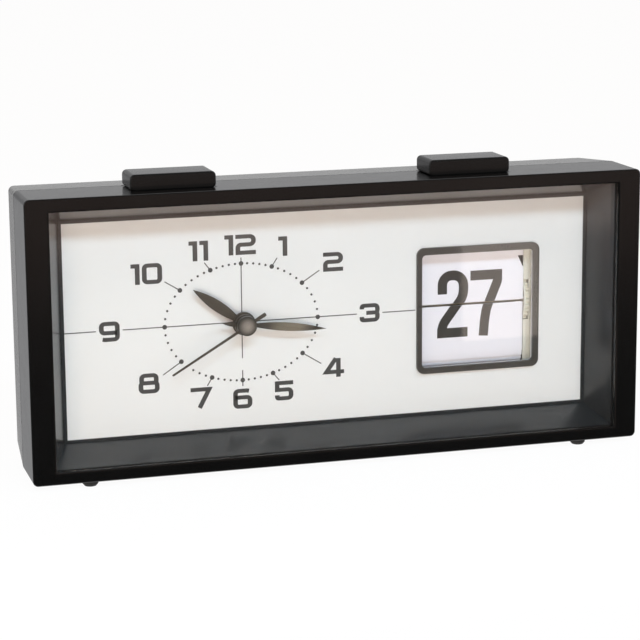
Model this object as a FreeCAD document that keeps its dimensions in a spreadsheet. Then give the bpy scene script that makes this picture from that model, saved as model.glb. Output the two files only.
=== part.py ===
"""Desk clock with a flip calendar: a parametric FreeCAD assembly in millimetres.

+X runs along the case, +Y from the front to the back, +Z up. The origin is the middle of the
footprint, on the surface that the clock stands on.
"""
import FreeCAD, Part
import math
import os
import re

import Sketcher

Vector = FreeCAD.Vector
Rotation = FreeCAD.Rotation

# ---------------------------------------------------------------- driving dimensions (mm, degrees)
SIZES = {
    # case
    "case_width": 210, "case_height": 93.5, "front_depth": 21, "back_room": 2,
    "rear_taper": 2.2, "wall": 2.2, "back_wall": 2.4, "corner_radius": 1.8, "seam_groove": 0.35,
    "foot_height": 2.2, "foot_radius": 2.6, "foot_inset_x": 19.5, "foot_inset_y": 5,
    "slip": 0.2, "tongue_length": 2.5, "tongue_wall": 1.2,
    # front opening and lens
    "side_border": 7.9, "top_border": 4.5, "bottom_border": 4.1,
    "lens_recess": 2, "lens_thickness": 1.5, "lens_lip": 1.3,
    # black surround between the lens and the dial
    "dial_depth": 15.9, "dial_side": 14.2, "dial_top": 10.8, "dial_bottom": 10.5,
    "surround_wall": 1.5, "ledge_width": 1, "ledge_thickness": 0.5, "flange_gap": 0.5,
    "flange_bottom": 3.6, "flange_drop": 5.2,
    # dial, window and inner chassis
    "dial_thickness": 1, "dial_lap": 1.7, "chassis_thickness": 1.5, "chassis_side": 11.5,
    "window_left": 31.9, "window_right": 72.4, "window_bottom": 26.1, "window_top": 65.4,
    "window_radius": 1.2, "rim_width": 2.05, "rim_proud": 1.1, "rim_radius": 2.6,
    "well_gap": 1.5, "well_wall": 1.2, "well_depth": 8,
    # screws
    "case_screw_inset": 6.5, "case_screw_low": 6.6, "case_screw_drop": 7.5,
    "case_screw_radius": 1.3, "case_head_radius": 2.5, "case_head_height": 1.8,
    "case_boss_radius": 3.6, "front_boss_radius": 2.6, "front_boss_length": 4.2, "head_seat": 26,
    "small_screw_radius": 1.1, "small_head_radius": 2, "small_head_height": 1.4,
    "chassis_screw_inset": 21, "boss_radius": 2.4, "boss_length": 3, "ear_thickness": 1.5,
    # going train and motion work
    "dial_x": -31, "dial_z": 46.4, "movement_size": 56, "movement_depth": 16.6,
    "movement_split": 8, "movement_wall": 1.4, "run": 0.1, "pipe_wall": 0.5, "arbor_radius": 0.5,
    "pivot_length": 0.8, "train_arbor_radius": 0.4, "wheel_thickness": 0.7, "pinion_extra": 0.2,
    "plane_alarm": 1.9, "plane_hour": 3.1, "plane_motion": 4.4, "plane_centre": 5.8,
    "plane_third": 7, "plane_second": 8.5,
    "module_second": 0.265, "module_cannon": 0.4, "module_alarm": 0.3, "module_drive": 0.2,
    "second_pinion_teeth": 8, "third_wheel_teeth": 60, "third_pinion_teeth": 8,
    "centre_wheel_teeth": 64, "cannon_pinion_teeth": 12, "motion_wheel_teeth": 36,
    "motion_pinion_teeth": 12, "hour_wheel_teeth": 48, "alarm_pinion_teeth": 24,
    "alarm_wheel_teeth": 48, "drive_wheel_teeth": 60,
    "third_angle": 180, "motion_angle": 60, "alarm_stem_angle": -60,
    # hands, from the dial's face towards the lens
    "hand_thickness": 0.35, "alarm_lift": 1.2, "hour_lift": 2.9, "minute_lift": 4.8,
    "second_lift": 7.3, "hub_height": 1.5, "alarm_hub": 2.9, "hour_hub": 3.9, "minute_hub": 3.5,
    "hub_round": 1, "cap_wall": 0.8,
    "second_hub": 3.3, "second_hub_height": 2.6,
    "hour_length": 21.2, "hour_width": 3.7, "minute_length": 28, "minute_width": 2.9,
    "minute_tail": 7.8, "tail_width": 1.7, "second_length": 29.6, "second_width": 0.8,
    "second_tail": 7.4, "second_tail_width": 1.3, "alarm_length": 14, "alarm_width": 1.4,
    "hour_angle": 306, "minute_angle": 96.4, "second_angle": 239.6, "alarm_angle": 306,
    # rear controls
    "knob_radius": 7.5, "knob_proud": 5.2, "knob_gap": 0.4, "flute_count": 24, "flute_radius": 0.55,
    "stem_radius": 1.2, "stem_clearance": 0.4,
    "switch_x": 12, "switch_z": 64, "switch_length": 18, "switch_height": 10, "switch_depth": 5,
    "slider_length": 9, "slider_height": 6.6, "slider_thickness": 1, "slider_travel": 6,
    "thumb_length": 4, "thumb_height": 3.6, "thumb_proud": 1.6,
    "buzzer_x": 12, "buzzer_z": 34, "buzzer_radius": 13, "buzzer_height": 4,
    "slot_count": 5, "slot_pitch": 4, "slot_width": 1.8, "slot_length": 17,
    # battery
    "cell_radius": 7.25, "cell_length": 50.5, "cell_inset": 20.5, "cell_z": 46,
    "cell_clearance": 0.7, "holder_wall": 1.2, "contact_room": 3.3, "contact_thickness": 0.4,
    "door_lap": 1.6, "door_thickness": 1.2,
    # top buttons
    "snooze_x": -55, "advance_x": 46.4, "button_length": 28.4, "button_depth": 14,
    "button_front": 8, "button_height": 5.2, "button_round": 1.5, "button_travel": 1.7,
    "button_sink": 1.8, "tab_width": 1.6, "tab_height": 1, "tab_setback": 5,
    "tab_play": 0.1,
    "guide_depth": 20.9, "guide_radius": 1.2, "stem_reach": 1, "shelf_drop": 11.5,
    "shelf_thickness": 1.2, "shelf_length": 11, "shelf_reach": 5.6, "spring_radius": 1.9,
    "spring_wire": 0.4,
    "wire_side_count": 12, "turn_count": 6, "contact_length": 6, "contact_depth": 5.2,
    "contact_play": 0.1, "plunger_height": 0.8, "plunger_radius": 1.3,
    # flip calendar
    "leaf_width": 37.6, "leaf_centre": 52, "leaf_depth": 20.65, "leaf_thickness": 0.25,
    "leaf_reach": 17.8, "split_gap": 0.9, "leaf_count": 31, "pivot_radius": 8.7,
    "stack_setback": 0.3, "first_setback": 0.36,
    "notch_width": 2.1, "notch_height": 4.5, "notch_drop": 1.9, "pin_radius": 0.2,
    "pin_hole": 0.3, "flange_rim": 0.7, "flange_thickness": 0.6, "leaf_end_gap": 0.3,
    "drum_hub": 4, "axle_radius": 1, "gear_tip": 9.8, "gear_root": 9, "gear_thickness": 1.2,
    "ratchet_tip": 8.9, "ratchet_root": 8, "ratchet_thickness": 1.2,
    "plate_gap": 0.9, "plate_thickness": 1.5, "plate_low": 34.5, "plate_high": 54.6,
    "bridge_room": 2.4, "calendar_ear": 7.6, "pawl_thickness": 0.8, "pawl_width": 1,
    "pawl_gap": 0.45, "pawl_hook": 0.7, "pawl_bite": 0.35, "arm_height": 1.5, "pawl_reach": 4,
    "catch_thickness": 0.35, "catch_width": 4, "catch_plate": 8, "catch_gap": 0.3,
}

# ---------------------------------------------------------------- places worked out from the sizes
PLACES = {
    # depths behind the front face: the case is as deep as its calendar needs
    "step": "360 / leaf_count",
    "axle_depth": "leaf_depth + pivot_radius * cos(step / 2 * 1 deg)",
    "bridge_depth": "axle_depth + gear_tip + bridge_room",
    "rear_depth": "bridge_depth + plate_thickness + back_room + back_wall - front_depth",
    "front_y": "-(front_depth + rear_depth + knob_proud) / 2",
    "seam_y": "front_y + front_depth",
    "back_y": "front_y + front_depth + rear_depth",
    "inner_back_y": "back_y - back_wall",
    "lens_y": "front_y + lens_recess",
    "lens_back_y": "lens_y + lens_thickness",
    "dial_y": "front_y + dial_depth",
    "ledge_y": "dial_y - ledge_thickness",
    "chassis_y": "dial_y + dial_thickness",
    "movement_y": "chassis_y + chassis_thickness",
    "movement_split_y": "movement_y + movement_split",
    "movement_back_y": "movement_y + movement_depth",
    "knob_y": "back_y + knob_gap",
    # heights: the case's underside and top, and the inside of both walls
    "base_z": "foot_height",
    "top_z": "base_z + case_height",
    "floor_z": "base_z + wall",
    "ceiling_z": "top_z - wall",
    # half widths
    "case_half": "case_width / 2",
    "inner_half": "case_half - wall",
    "open_half": "case_half - side_border",
    "dial_half": "case_half - dial_side",
    "open_low_z": "base_z + bottom_border",
    "open_high_z": "top_z - top_border",
    "dial_low_z": "base_z + dial_bottom",
    "dial_high_z": "top_z - dial_top",
    "flange_half": "inner_half - flange_gap",
    "flange_low_z": "base_z + flange_bottom",
    "flange_high_z": "top_z - flange_drop",
    "screw_x": "case_half - case_screw_inset",
    "chassis_screw_x": "case_half - chassis_screw_inset",
    "screw_low_z": "base_z + case_screw_low",
    "screw_high_z": "top_z - case_screw_drop",
    # centre of the hands
    "hub_z": "base_z + dial_z",
    "second_to_third": "module_second * (second_pinion_teeth + third_wheel_teeth) / 2",
    "centre_to_motion": "module_cannon * (cannon_pinion_teeth + motion_wheel_teeth) / 2",
    "centre_to_stem": "module_alarm * (alarm_pinion_teeth + alarm_wheel_teeth) / 2",
    "module_centre": "2 * second_to_third / (third_pinion_teeth + centre_wheel_teeth)",
    "module_hour": "2 * centre_to_motion / (motion_pinion_teeth + hour_wheel_teeth)",
    "third_x": "dial_x + second_to_third * cos(third_angle * 1 deg)",
    "third_z": "hub_z + second_to_third * sin(third_angle * 1 deg)",
    "motion_x": "dial_x + centre_to_motion * cos(motion_angle * 1 deg)",
    "motion_z": "hub_z + centre_to_motion * sin(motion_angle * 1 deg)",
    "time_stem_x": "dial_x + 2 * centre_to_motion * cos(motion_angle * 1 deg)",
    "time_stem_z": "hub_z + 2 * centre_to_motion * sin(motion_angle * 1 deg)",
    "alarm_stem_x": "dial_x + centre_to_stem * cos(alarm_stem_angle * 1 deg)",
    "alarm_stem_z": "hub_z + centre_to_stem * sin(alarm_stem_angle * 1 deg)",
    # nested pipes
    "minute_bore": "arbor_radius + run",
    "minute_pipe": "minute_bore + pipe_wall",
    "hour_bore": "minute_pipe + run",
    "hour_pipe": "hour_bore + pipe_wall",
    "alarm_bore": "hour_pipe + run",
    "alarm_pipe": "alarm_bore + pipe_wall",
    # calendar
    "split_z": "base_z + dial_z",
    "leaf_y": "front_y + leaf_depth",
    "axle_y": "front_y + axle_depth",
    "pivot_rise": "pivot_radius * sin(step / 2 * 1 deg)",
    "leaf_left": "leaf_centre - leaf_width / 2",
    "leaf_right": "leaf_centre + leaf_width / 2",
    "flange_left": "leaf_left - leaf_end_gap",
    "flange_right": "leaf_right + leaf_end_gap",
    "plate_left": "flange_left - flange_thickness - ratchet_thickness - plate_gap",
    "plate_right": "flange_right + flange_thickness + gear_thickness + plate_gap",
    "window_low_z": "base_z + window_bottom",
    "window_high_z": "base_z + window_top",
    "shelf_z": "top_z - shelf_drop + shelf_thickness",
    "tab_top_z": "ceiling_z - tab_play",
    "tab_z": "tab_top_z - tab_height",
    "guide_y": "front_y + guide_depth",
    "snooze_tip_z": "shelf_z - shelf_thickness - stem_reach",
    "pawl_tip_z": "shelf_z - shelf_thickness - pawl_reach",
    "plunger_z": "snooze_tip_z - button_travel - contact_play",
    # battery
    "cell_x": "-case_half + cell_inset",
    "cell_y": "inner_back_y - cell_radius - cell_clearance",
    "cell_low_z": "base_z + cell_z - cell_length / 2",
    "cell_high_z": "base_z + cell_z + cell_length / 2",
    "room_half": "cell_radius + cell_clearance",
    "room_low_z": "cell_low_z - contact_room",
    "room_high_z": "cell_high_z + contact_room",
}

doc = FreeCAD.newDocument("desk_clock")
sheet = doc.addObject("Spreadsheet::Sheet", "Sizes")
for row, (alias, value) in enumerate(SIZES.items(), start=1):
    sheet.set(f"A{row}", alias)
    sheet.set(f"B{row}", str(value))
    sheet.setAlias(f"B{row}", alias)
doc.recompute()

places = doc.addObject("App::FeaturePython", "Places")
WORD = re.compile(r"[a-z][a-z_0-9]*")


def bound(text):
    """An expression in the sheet's own words, with each word pointing at its cell or place."""
    def point(match):
        word = match.group(0)
        if word in SIZES:
            return "Sizes." + word
        if word in PLACES:
            return "Places." + word
        return word
    return WORD.sub(point, str(text))


for place_name, rule in PLACES.items():
    places.addProperty("App::PropertyFloat", place_name, "Places", "")
    places.setExpression(place_name, bound(rule))
doc.recompute()


def size(name):
    """The number that a size or a place has now, for the pieces that code shapes itself."""
    if name in PLACES:
        return float(getattr(places, name))
    return float(sheet.get(name))


# ---------------------------------------------------------------- helpers
TURN = {"x": Rotation(Vector(0, 1, 0), 90), "y": Rotation(Vector(1, 0, 0), -90), "z": Rotation()}
nodes = []


def put(obj, x="0", y="0", z="0"):
    for axis, text in zip("xyz", (x, y, z)):
        obj.setExpression(f"Placement.Base.{axis}", bound(text))
    return obj


def box(name, x, y, z):
    """A block between two values on each axis."""
    block = doc.addObject("Part::Box", name)
    for side, (low, high) in zip(("Length", "Width", "Height"), (x, y, z)):
        block.setExpression(side, bound(f"({high}) - ({low})"))
    return put(block, x[0], y[0], z[0])


def rod(name, axis, radius, span, across):
    """A cylinder along one axis, over a span of it, through a point of the other two."""
    cylinder = doc.addObject("Part::Cylinder", name)
    cylinder.Placement = FreeCAD.Placement(Vector(), TURN[axis])
    cylinder.setExpression("Radius", bound(radius))
    cylinder.setExpression("Height", bound(f"({span[1]}) - ({span[0]})"))
    other = [letter for letter in "xyz" if letter != axis]
    spot = {axis: span[0], other[0]: across[0], other[1]: across[1]}
    return put(cylinder, spot["x"], spot["y"], spot["z"])


def taper(name, x, z, back_x, back_z, y):
    """A block whose front and back faces differ in size."""
    wedge = doc.addObject("Part::Wedge", name)
    ends = {"Xmin": x[0], "Xmax": x[1], "Zmin": z[0], "Zmax": z[1], "X2min": back_x[0],
            "X2max": back_x[1], "Z2min": back_z[0], "Z2max": back_z[1], "Ymin": y[0], "Ymax": y[1]}
    for side, text in ends.items():
        wedge.setExpression(side, bound(text))
    return wedge


def fuse(name, *shapes):
    joined = doc.addObject("Part::MultiFuse", name)
    joined.Shapes = list(shapes)
    return joined


def cut(name, base, *tools):
    tool = tools[0] if len(tools) == 1 else fuse(name + "_tools", *tools)
    result = doc.addObject("Part::Cut", name)
    result.Base = base
    result.Tool = tool
    return result


def common(name, *shapes):
    shared = doc.addObject("Part::MultiCommon", name)
    shared.Shapes = list(shapes)
    return shared


def round_edges(name, base, radius, wanted):
    """A fillet on the edges that a test picks, each with the same radius."""
    doc.recompute()
    picked = [i for i, edge in enumerate(base.Shape.Edges, start=1) if wanted(edge)]
    fillet = doc.addObject("Part::Fillet", name)
    fillet.Base = base
    fillet.Edges = [(i, size(radius), size(radius)) for i in picked]
    return fillet


def runs_along(edge, axis):
    start, end = edge.Vertexes[0].Point, edge.Vertexes[-1].Point
    span = (end - start).Length
    return span > 0 and abs((end - start).dot(axis)) > 0.99 * span


def shaped(name, shape):
    """A piece whose shape only code can give, such as a toothed wheel or a coil."""
    feature = doc.addObject("Part::Feature", name)
    feature.Shape = shape
    return feature


def node(label, piece):
    """Names a finished sub-part, which is written to a file of that name."""
    piece.Label = label
    nodes.append(piece)
    return piece


def plane_of(body, role):
    return next(f for f in body.Origin.OriginFeatures if f.Role == role)


def new_sketch(body, name, role):
    sketch = body.newObject("Sketcher::SketchObject", name)
    sketch.AttachmentSupport = [(plane_of(body, role), "")]
    sketch.MapMode = "FlatFace"
    return sketch


def sketch_block(sketch, left, right, low, high):
    """A rectangle whose four sides are each held at an expression."""
    corners = [Vector(0, 0, 0), Vector(1, 0, 0), Vector(1, 1, 0), Vector(0, 1, 0)]
    for i in range(4):
        sketch.addGeometry(Part.LineSegment(corners[i], corners[(i + 1) % 4]), False)
    for i in range(4):
        sketch.addConstraint(Sketcher.Constraint("Coincident", i, 2, (i + 1) % 4, 1))
    sketch.addConstraint([Sketcher.Constraint("Horizontal", i) for i in (0, 2)])
    sketch.addConstraint([Sketcher.Constraint("Vertical", i) for i in (1, 3)])
    sides = [("DistanceX", 0, left), ("DistanceY", 0, low), ("DistanceX", 2, right),
             ("DistanceY", 2, high)]
    for kind, line, text in sides:
        index = sketch.addConstraint(Sketcher.Constraint(kind, -1, 1, line, 1, 1.0))
        sketch.setExpression(f"Constraints[{index}]", bound(text))


def sketch_outline(sketch, points):
    """A closed outline of straight sides, each corner held at a pair of expressions."""
    count = len(points)
    for i in range(count):
        sketch.addGeometry(Part.LineSegment(Vector(i, i * i, 0), Vector(i + 1, (i + 1) ** 2, 0)))
    for i in range(count):
        sketch.addConstraint(Sketcher.Constraint("Coincident", i, 2, (i + 1) % count, 1))
    for i, pair in enumerate(points):
        for kind, text in zip(("DistanceX", "DistanceY"), pair):
            index = sketch.addConstraint(Sketcher.Constraint(kind, -1, 1, i, 1, 1.0))
            sketch.setExpression(f"Constraints[{index}]", bound(text))


def pad(body, sketch, length, reverse=True):
    """Sketches on the XZ plane face -Y, so a reversed pad grows towards the back."""
    feature = body.newObject("PartDesign::Pad", sketch.Name + "_pad")
    feature.Profile = sketch
    feature.Reversed = reverse
    feature.setExpression("Length", bound(length))
    return feature


def pocket(body, sketch, reverse=False):
    feature = body.newObject("PartDesign::Pocket", sketch.Name + "_pocket")
    feature.Profile = sketch
    feature.Type = "ThroughAll"
    feature.Reversed = reverse
    return feature


def body_fillet(body, base, radius, wanted):
    doc.recompute()
    names = [f"Edge{i}" for i, edge in enumerate(base.Shape.Edges, start=1) if wanted(edge)]
    feature = body.newObject("PartDesign::Fillet", base.Name + "_round")
    feature.Base = (base, names)
    feature.setExpression("Radius", bound(radius))
    return feature


def turned(label, points, x, y, z, axis_role="V_Axis", plane="XZ_Plane", spin=None):
    """A body of revolution: its half section is revolved about the sketch's own axis."""
    body = doc.addObject("PartDesign::Body", label + "_body")
    sketch = new_sketch(body, label + "_section", plane)
    sketch_outline(sketch, points)
    feature = body.newObject("PartDesign::Revolution", label + "_turn")
    feature.Profile = sketch
    feature.ReferenceAxis = (sketch, [axis_role])
    feature.Angle = 360
    if spin:
        body.Placement = FreeCAD.Placement(Vector(), spin)
    return put(body, x, y, z), feature


# ---------------------------------------------------------------- case
def front_frame():
    outer = box("frame_outer", ("-case_half", "case_half"), ("front_y", "seam_y"),
                ("base_z", "top_z"))
    rounded = round_edges("frame_rounded", outer, "corner_radius",
                          lambda edge: runs_along(edge, Vector(0, 1, 0)))
    opening = box("frame_opening", ("-open_half", "open_half"), ("front_y - 1", "lens_back_y"),
                  ("open_low_z", "open_high_z"))
    rebate = box("frame_rebate", ("-open_half - lens_lip", "open_half + lens_lip"),
                 ("lens_y", "lens_back_y + 1"), ("open_low_z - lens_lip", "open_high_z + lens_lip"))
    cavity = box("frame_cavity", ("-inner_half", "inner_half"), ("lens_back_y", "seam_y + 1"),
                 ("floor_z", "ceiling_z"))
    groove = cut("frame_groove",
                 box("groove_outer", ("-case_half - 1", "case_half + 1"),
                     ("seam_y - seam_groove", "seam_y + 1"), ("base_z - 1", "top_z + 1")),
                 box("groove_inner", ("-case_half + seam_groove", "case_half - seam_groove"),
                     ("seam_y - seam_groove - 1", "seam_y + 2"),
                     ("base_z + seam_groove", "top_z - seam_groove")))
    notches = [button_hole("frame_notch_" + key, key + "_x") for key in ("snooze", "advance")]
    shell = cut("frame_shell", rounded, opening, rebate, cavity, groove, *notches)
    bosses = []
    for side in (-1, 1):
        for level in ("low", "high"):
            tag = f"{level}_{'left' if side < 0 else 'right'}"
            centre = f"{side} * screw_x"
            height = f"screw_{level}_z"
            span = ("ledge_y - front_boss_length", "ledge_y")
            boss = rod("frame_boss_" + tag, "y", "front_boss_radius", span, (centre, height))
            ends = ("screw_x", "inner_half + wall / 2")
            if side < 0:
                ends = ("-inner_half - wall / 2", "-screw_x")
            web = box("frame_web_" + tag, ends, span,
                      (f"{height} - case_screw_radius", f"{height} + case_screw_radius"))
            bosses.append(cut("frame_mount_" + tag, fuse("frame_post_" + tag, boss, web),
                              rod("frame_pilot_" + tag, "y", "case_screw_radius + run",
                                  ("ledge_y - front_boss_length - 1", "ledge_y + 1"),
                                  (centre, height))))
    return node("front_frame", fuse("frame", shell, *bosses))


def button_hole(name, x):
    half = "(button_length / 2 + slip)"
    return box(name, (f"{x} - {half}", f"{x} + {half}"),
               ("front_y + button_front - slip", "front_y + button_front + button_depth + slip"),
               ("ceiling_z - 0.5 * wall", "top_z + 1"))


def shell_block(name, inset, y):
    """The tapering outline of the rear shell, or of its inside, between two depths."""
    def reach(half, depth):
        return f"({half} - {inset} - rear_taper * ({depth} - seam_y) / rear_depth)"

    def level(edge, sign, depth):
        return f"({edge} {sign} ({inset} + rear_taper * ({depth} - seam_y) / rear_depth))"
    near, far = y
    return taper(name, (f"-{reach('case_half', near)}", reach("case_half", near)),
                 (level("base_z", "+", near), level("top_z", "-", near)),
                 (f"-{reach('case_half', far)}", reach("case_half", far)),
                 (level("base_z", "+", far), level("top_z", "-", far)), y)


def rear_shell():
    outer = shell_block("shell_outer", "0", ("seam_y", "back_y"))
    doc.recompute()
    back = size("back_y")

    def outside_edge(edge):
        depths = [vertex.Point.y for vertex in edge.Vertexes]
        return max(depths) > back - 0.01
    rounded = round_edges("shell_rounded", outer, "corner_radius", outside_edge)
    hollow = shell_block("shell_hollow", "wall", ("seam_y", "inner_back_y"))
    tongue = fuse("tongue_outer",
                  box("tongue_front", ("-inner_half + slip", "inner_half - slip"),
                      ("seam_y - tongue_length", "seam_y"), ("floor_z + slip", "ceiling_z - slip")),
                  box("tongue_root", ("-inner_half - wall / 3", "inner_half + wall / 3"),
                      ("seam_y", "seam_y + tongue_wall"),
                      ("floor_z - wall / 3", "ceiling_z + wall / 3")))
    inside = "inner_half - slip - tongue_wall"
    ring = cut("tongue_ring", tongue,
               box("tongue_inner", (f"-({inside})", inside),
                   ("seam_y - tongue_length - 1", "seam_y + tongue_wall + 1"),
                   ("floor_z + slip + tongue_wall", "ceiling_z - slip - tongue_wall")))
    bosses, holes = [], []
    for side in (-1, 1):
        for level in ("low", "high"):
            tag = f"{level}_{'left' if side < 0 else 'right'}"
            spot = (f"{side} * screw_x", f"screw_{level}_z")
            bosses.append(rod("shell_boss_" + tag, "y", "case_boss_radius",
                              ("chassis_y", "inner_back_y + back_wall / 2"), spot))
            holes.append(rod("shell_bore_" + tag, "y", "case_head_radius + slip",
                             ("front_y + head_seat", "back_y + 1"), spot))
            holes.append(rod("shell_hole_" + tag, "y", "case_screw_radius + slip",
                             ("chassis_y - 1", "front_y + head_seat + 1"), spot))
    for key in ("snooze", "advance"):
        holes.append(button_hole("shell_notch_" + key, key + "_x"))
        half = "(button_length / 2 + tab_width + 2 * slip)"
        holes.append(box("tongue_gap_" + key, (f"{key}_x - {half}", f"{key}_x + {half}"),
                         ("seam_y - tongue_length - 1", "seam_y + tongue_wall + 2"),
                         ("ceiling_z - 6", "ceiling_z - slip / 2")))
    through = ("inner_back_y - 1", "back_y + 1")
    for key in ("time", "alarm"):
        holes.append(rod(f"{key}_stem_hole", "y", "stem_radius + stem_clearance", through,
                         (f"{key}_stem_x", f"base_z - base_z + {key}_stem_z")))
    holes.append(box("cell_opening", ("cell_x - room_half", "cell_x + room_half"), through,
                     ("room_low_z", "room_high_z")))
    lap = "(door_lap + slip)"
    holes.append(box("door_recess", (f"cell_x - room_half - {lap}", f"cell_x + room_half + {lap}"),
                     ("back_y - door_thickness", "back_y + 1"),
                     (f"room_low_z - {lap}", f"room_high_z + {lap}")))
    reach = "((thumb_length + slider_travel) / 2 + slip)"
    holes.append(box("switch_slot", (f"switch_x - {reach}", f"switch_x + {reach}"), through,
                     ("base_z + switch_z - thumb_height / 2 - slip",
                      "base_z + switch_z + thumb_height / 2 + slip")))
    for i in range(int(size("slot_count"))):
        middle = f"buzzer_x + ({i} - (slot_count - 1) / 2) * slot_pitch"
        holes.append(box(f"sound_slot_{i + 1}",
                         (f"{middle} - slot_width / 2", f"{middle} + slot_width / 2"), through,
                         ("base_z + buzzer_z - slot_length / 2", "base_z + buzzer_z + slot_length / 2")))
    walls = fuse("shell_walls", cut("shell_cup", rounded, hollow), ring, *bosses)
    return node("rear_shell", cut("shell", walls, *holes))


def lens():
    edge = "lens_lip - slip"
    return node("lens", box("lens_plate", (f"-open_half - ({edge})", f"open_half + {edge}"),
                            ("lens_y", "lens_back_y"),
                            (f"open_low_z - ({edge})", f"open_high_z + {edge}")))


def dial_surround():
    """A funnel of four sloping walls from the lens down to the dial, with a flange behind it."""
    def wall_block(name, grow, y):
        near = ("open_half", "open_low_z", "open_high_z")
        far = ("dial_half + ledge_width", "dial_low_z - ledge_width", "dial_high_z + ledge_width")
        return taper(name, (f"-({near[0]} + {grow})", f"{near[0]} + {grow}"),
                     (f"{near[1]} - {grow}", f"{near[2]} + {grow}"),
                     (f"-({far[0]} + {grow})", f"{far[0]} + {grow}"),
                     (f"{far[1]} - {grow}", f"{far[2]} + {grow}"), y)
    funnel = wall_block("surround_outer", "surround_wall", ("lens_back_y", "ledge_y"))
    flange = box("surround_flange", ("-flange_half", "flange_half"), ("ledge_y", "chassis_y"),
                 ("flange_low_z", "flange_high_z"))
    solid = [funnel, flange]
    pilots = []
    for side in (-1, 1):
        for level, height in (("low", "flange_low_z + boss_radius"),
                              ("high", "flange_high_z - boss_radius")):
            tag = f"{level}_{'left' if side < 0 else 'right'}"
            spot = (f"{side} * chassis_screw_x", height)
            pilots.append(rod("surround_pilot_" + tag, "y", "small_screw_radius + run",
                              ("ledge_y", "chassis_y + 1"), spot))
            pilots.append(rod("surround_hole_" + tag, "y", "case_screw_radius + slip",
                              ("ledge_y - 1", "chassis_y + 1"),
                              (f"{side} * screw_x", f"screw_{level}_z")))
    inside = wall_block("surround_inner", "0", ("lens_back_y", "ledge_y"))
    sight = box("surround_sight", ("-dial_half", "dial_half"), ("ledge_y - 1", "chassis_y + 1"),
                ("dial_low_z", "dial_high_z"))
    seat = box("surround_seat", ("-dial_half - dial_lap - slip", "dial_half + dial_lap + slip"),
               ("dial_y", "chassis_y + 1"),
               ("dial_low_z - dial_lap - slip", "dial_high_z + dial_lap + slip"))
    return node("dial_surround", cut("surround", fuse("surround_solid", *solid), inside, sight,
                                     seat, *pilots))


def feet():
    """Four turned rubber feet, trimmed to the case; the rear ones reach down past the taper."""
    made = []
    for i, (side, deep) in enumerate(((-1, 0), (1, 0), (-1, 1), (1, 1))):
        high = "foot_height + rear_taper" if deep else "foot_height"
        y = "back_y - foot_inset_y" if deep else "front_y + foot_inset_y"
        points = [("0", "0"), ("foot_radius * 0.75", "0"), ("foot_radius", "foot_height * 0.35"),
                  ("foot_radius", high), ("0", high)]
        foot, _ = turned(f"foot_{i + 1}", points, f"{side} * (case_half - foot_inset_x)", y, "0")
        made.append(foot)
    underside = shell_block("foot_trim", "0", ("seam_y", "back_y"))
    return node("feet", cut("feet_trimmed", fuse("feet_set", *made), underside))


def screw(name, radius, head_radius, head_height, tip, seat, spot):
    """A pan-head screw along Y: its head is behind the seat and its tip in front of it."""
    shank = rod(name + "_shank", "y", radius, (tip, seat), spot)
    head = rod(name + "_head", "y", head_radius, (seat, f"{seat} + {head_height}"), spot)
    slot = box(name + "_slot", (f"{spot[0]} - {head_radius}", f"{spot[0]} + {head_radius}"),
               (f"{seat} + {head_height} / 2", f"{seat} + {head_height} + 1"),
               (f"{spot[1]} - {head_radius} * 0.14", f"{spot[1]} + {head_radius} * 0.14"))
    return cut(name, fuse(name + "_blank", shank, head), slot)


def case_screws():
    made = []
    for side in (-1, 1):
        for level in ("low", "high"):
            made.append(screw(f"case_screw_{level}_{side + 1}", "case_screw_radius",
                              "case_head_radius", "case_head_height",
                              "ledge_y - front_boss_length + 0.4", "front_y + head_seat",
                              (f"{side} * screw_x", f"screw_{level}_z")))
    return node("case_screws", fuse("case_screw_set", *made))


# ---------------------------------------------------------------- dial and chassis
def dial_plate():
    body = doc.addObject("PartDesign::Body", "dial_body")
    outline = new_sketch(body, "dial_outline", "XZ_Plane")
    sketch_block(outline, "-dial_half - dial_lap", "dial_half + dial_lap",
                 "dial_low_z - dial_lap", "dial_high_z + dial_lap")
    plate = pad(body, outline, "dial_thickness")
    window = new_sketch(body, "dial_window", "XZ_Plane")
    sketch_block(window, "window_left", "window_right", "window_low_z", "window_high_z")
    opened = pocket(body, window, reverse=False)
    centre = new_sketch(body, "dial_centre", "XZ_Plane")
    centre.addGeometry(Part.Circle(Vector(-10, 10, 0), Vector(0, 0, 1), 3), False)
    for constraint, text in ((Sketcher.Constraint("Radius", 0, 3), "alarm_pipe + 3 * run"),
                             (Sketcher.Constraint("DistanceX", -1, 1, 0, 3, -10), "dial_x"),
                             (Sketcher.Constraint("DistanceY", -1, 1, 0, 3, 10), "hub_z")):
        index = centre.addConstraint(constraint)
        centre.setExpression(f"Constraints[{index}]", bound(text))
    bored = pocket(body, centre, reverse=False)
    doc.recompute()
    left, right = size("window_left"), size("window_right")

    def window_corner(edge):
        if not runs_along(edge, Vector(0, 1, 0)):
            return False
        return min(abs(edge.Vertexes[0].Point.x - left), abs(edge.Vertexes[0].Point.x - right)) < 0.01
    body_fillet(body, bored, "window_radius", window_corner)
    put(body, "0", "dial_y", "0")
    return node("dial_plate", body)


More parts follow.
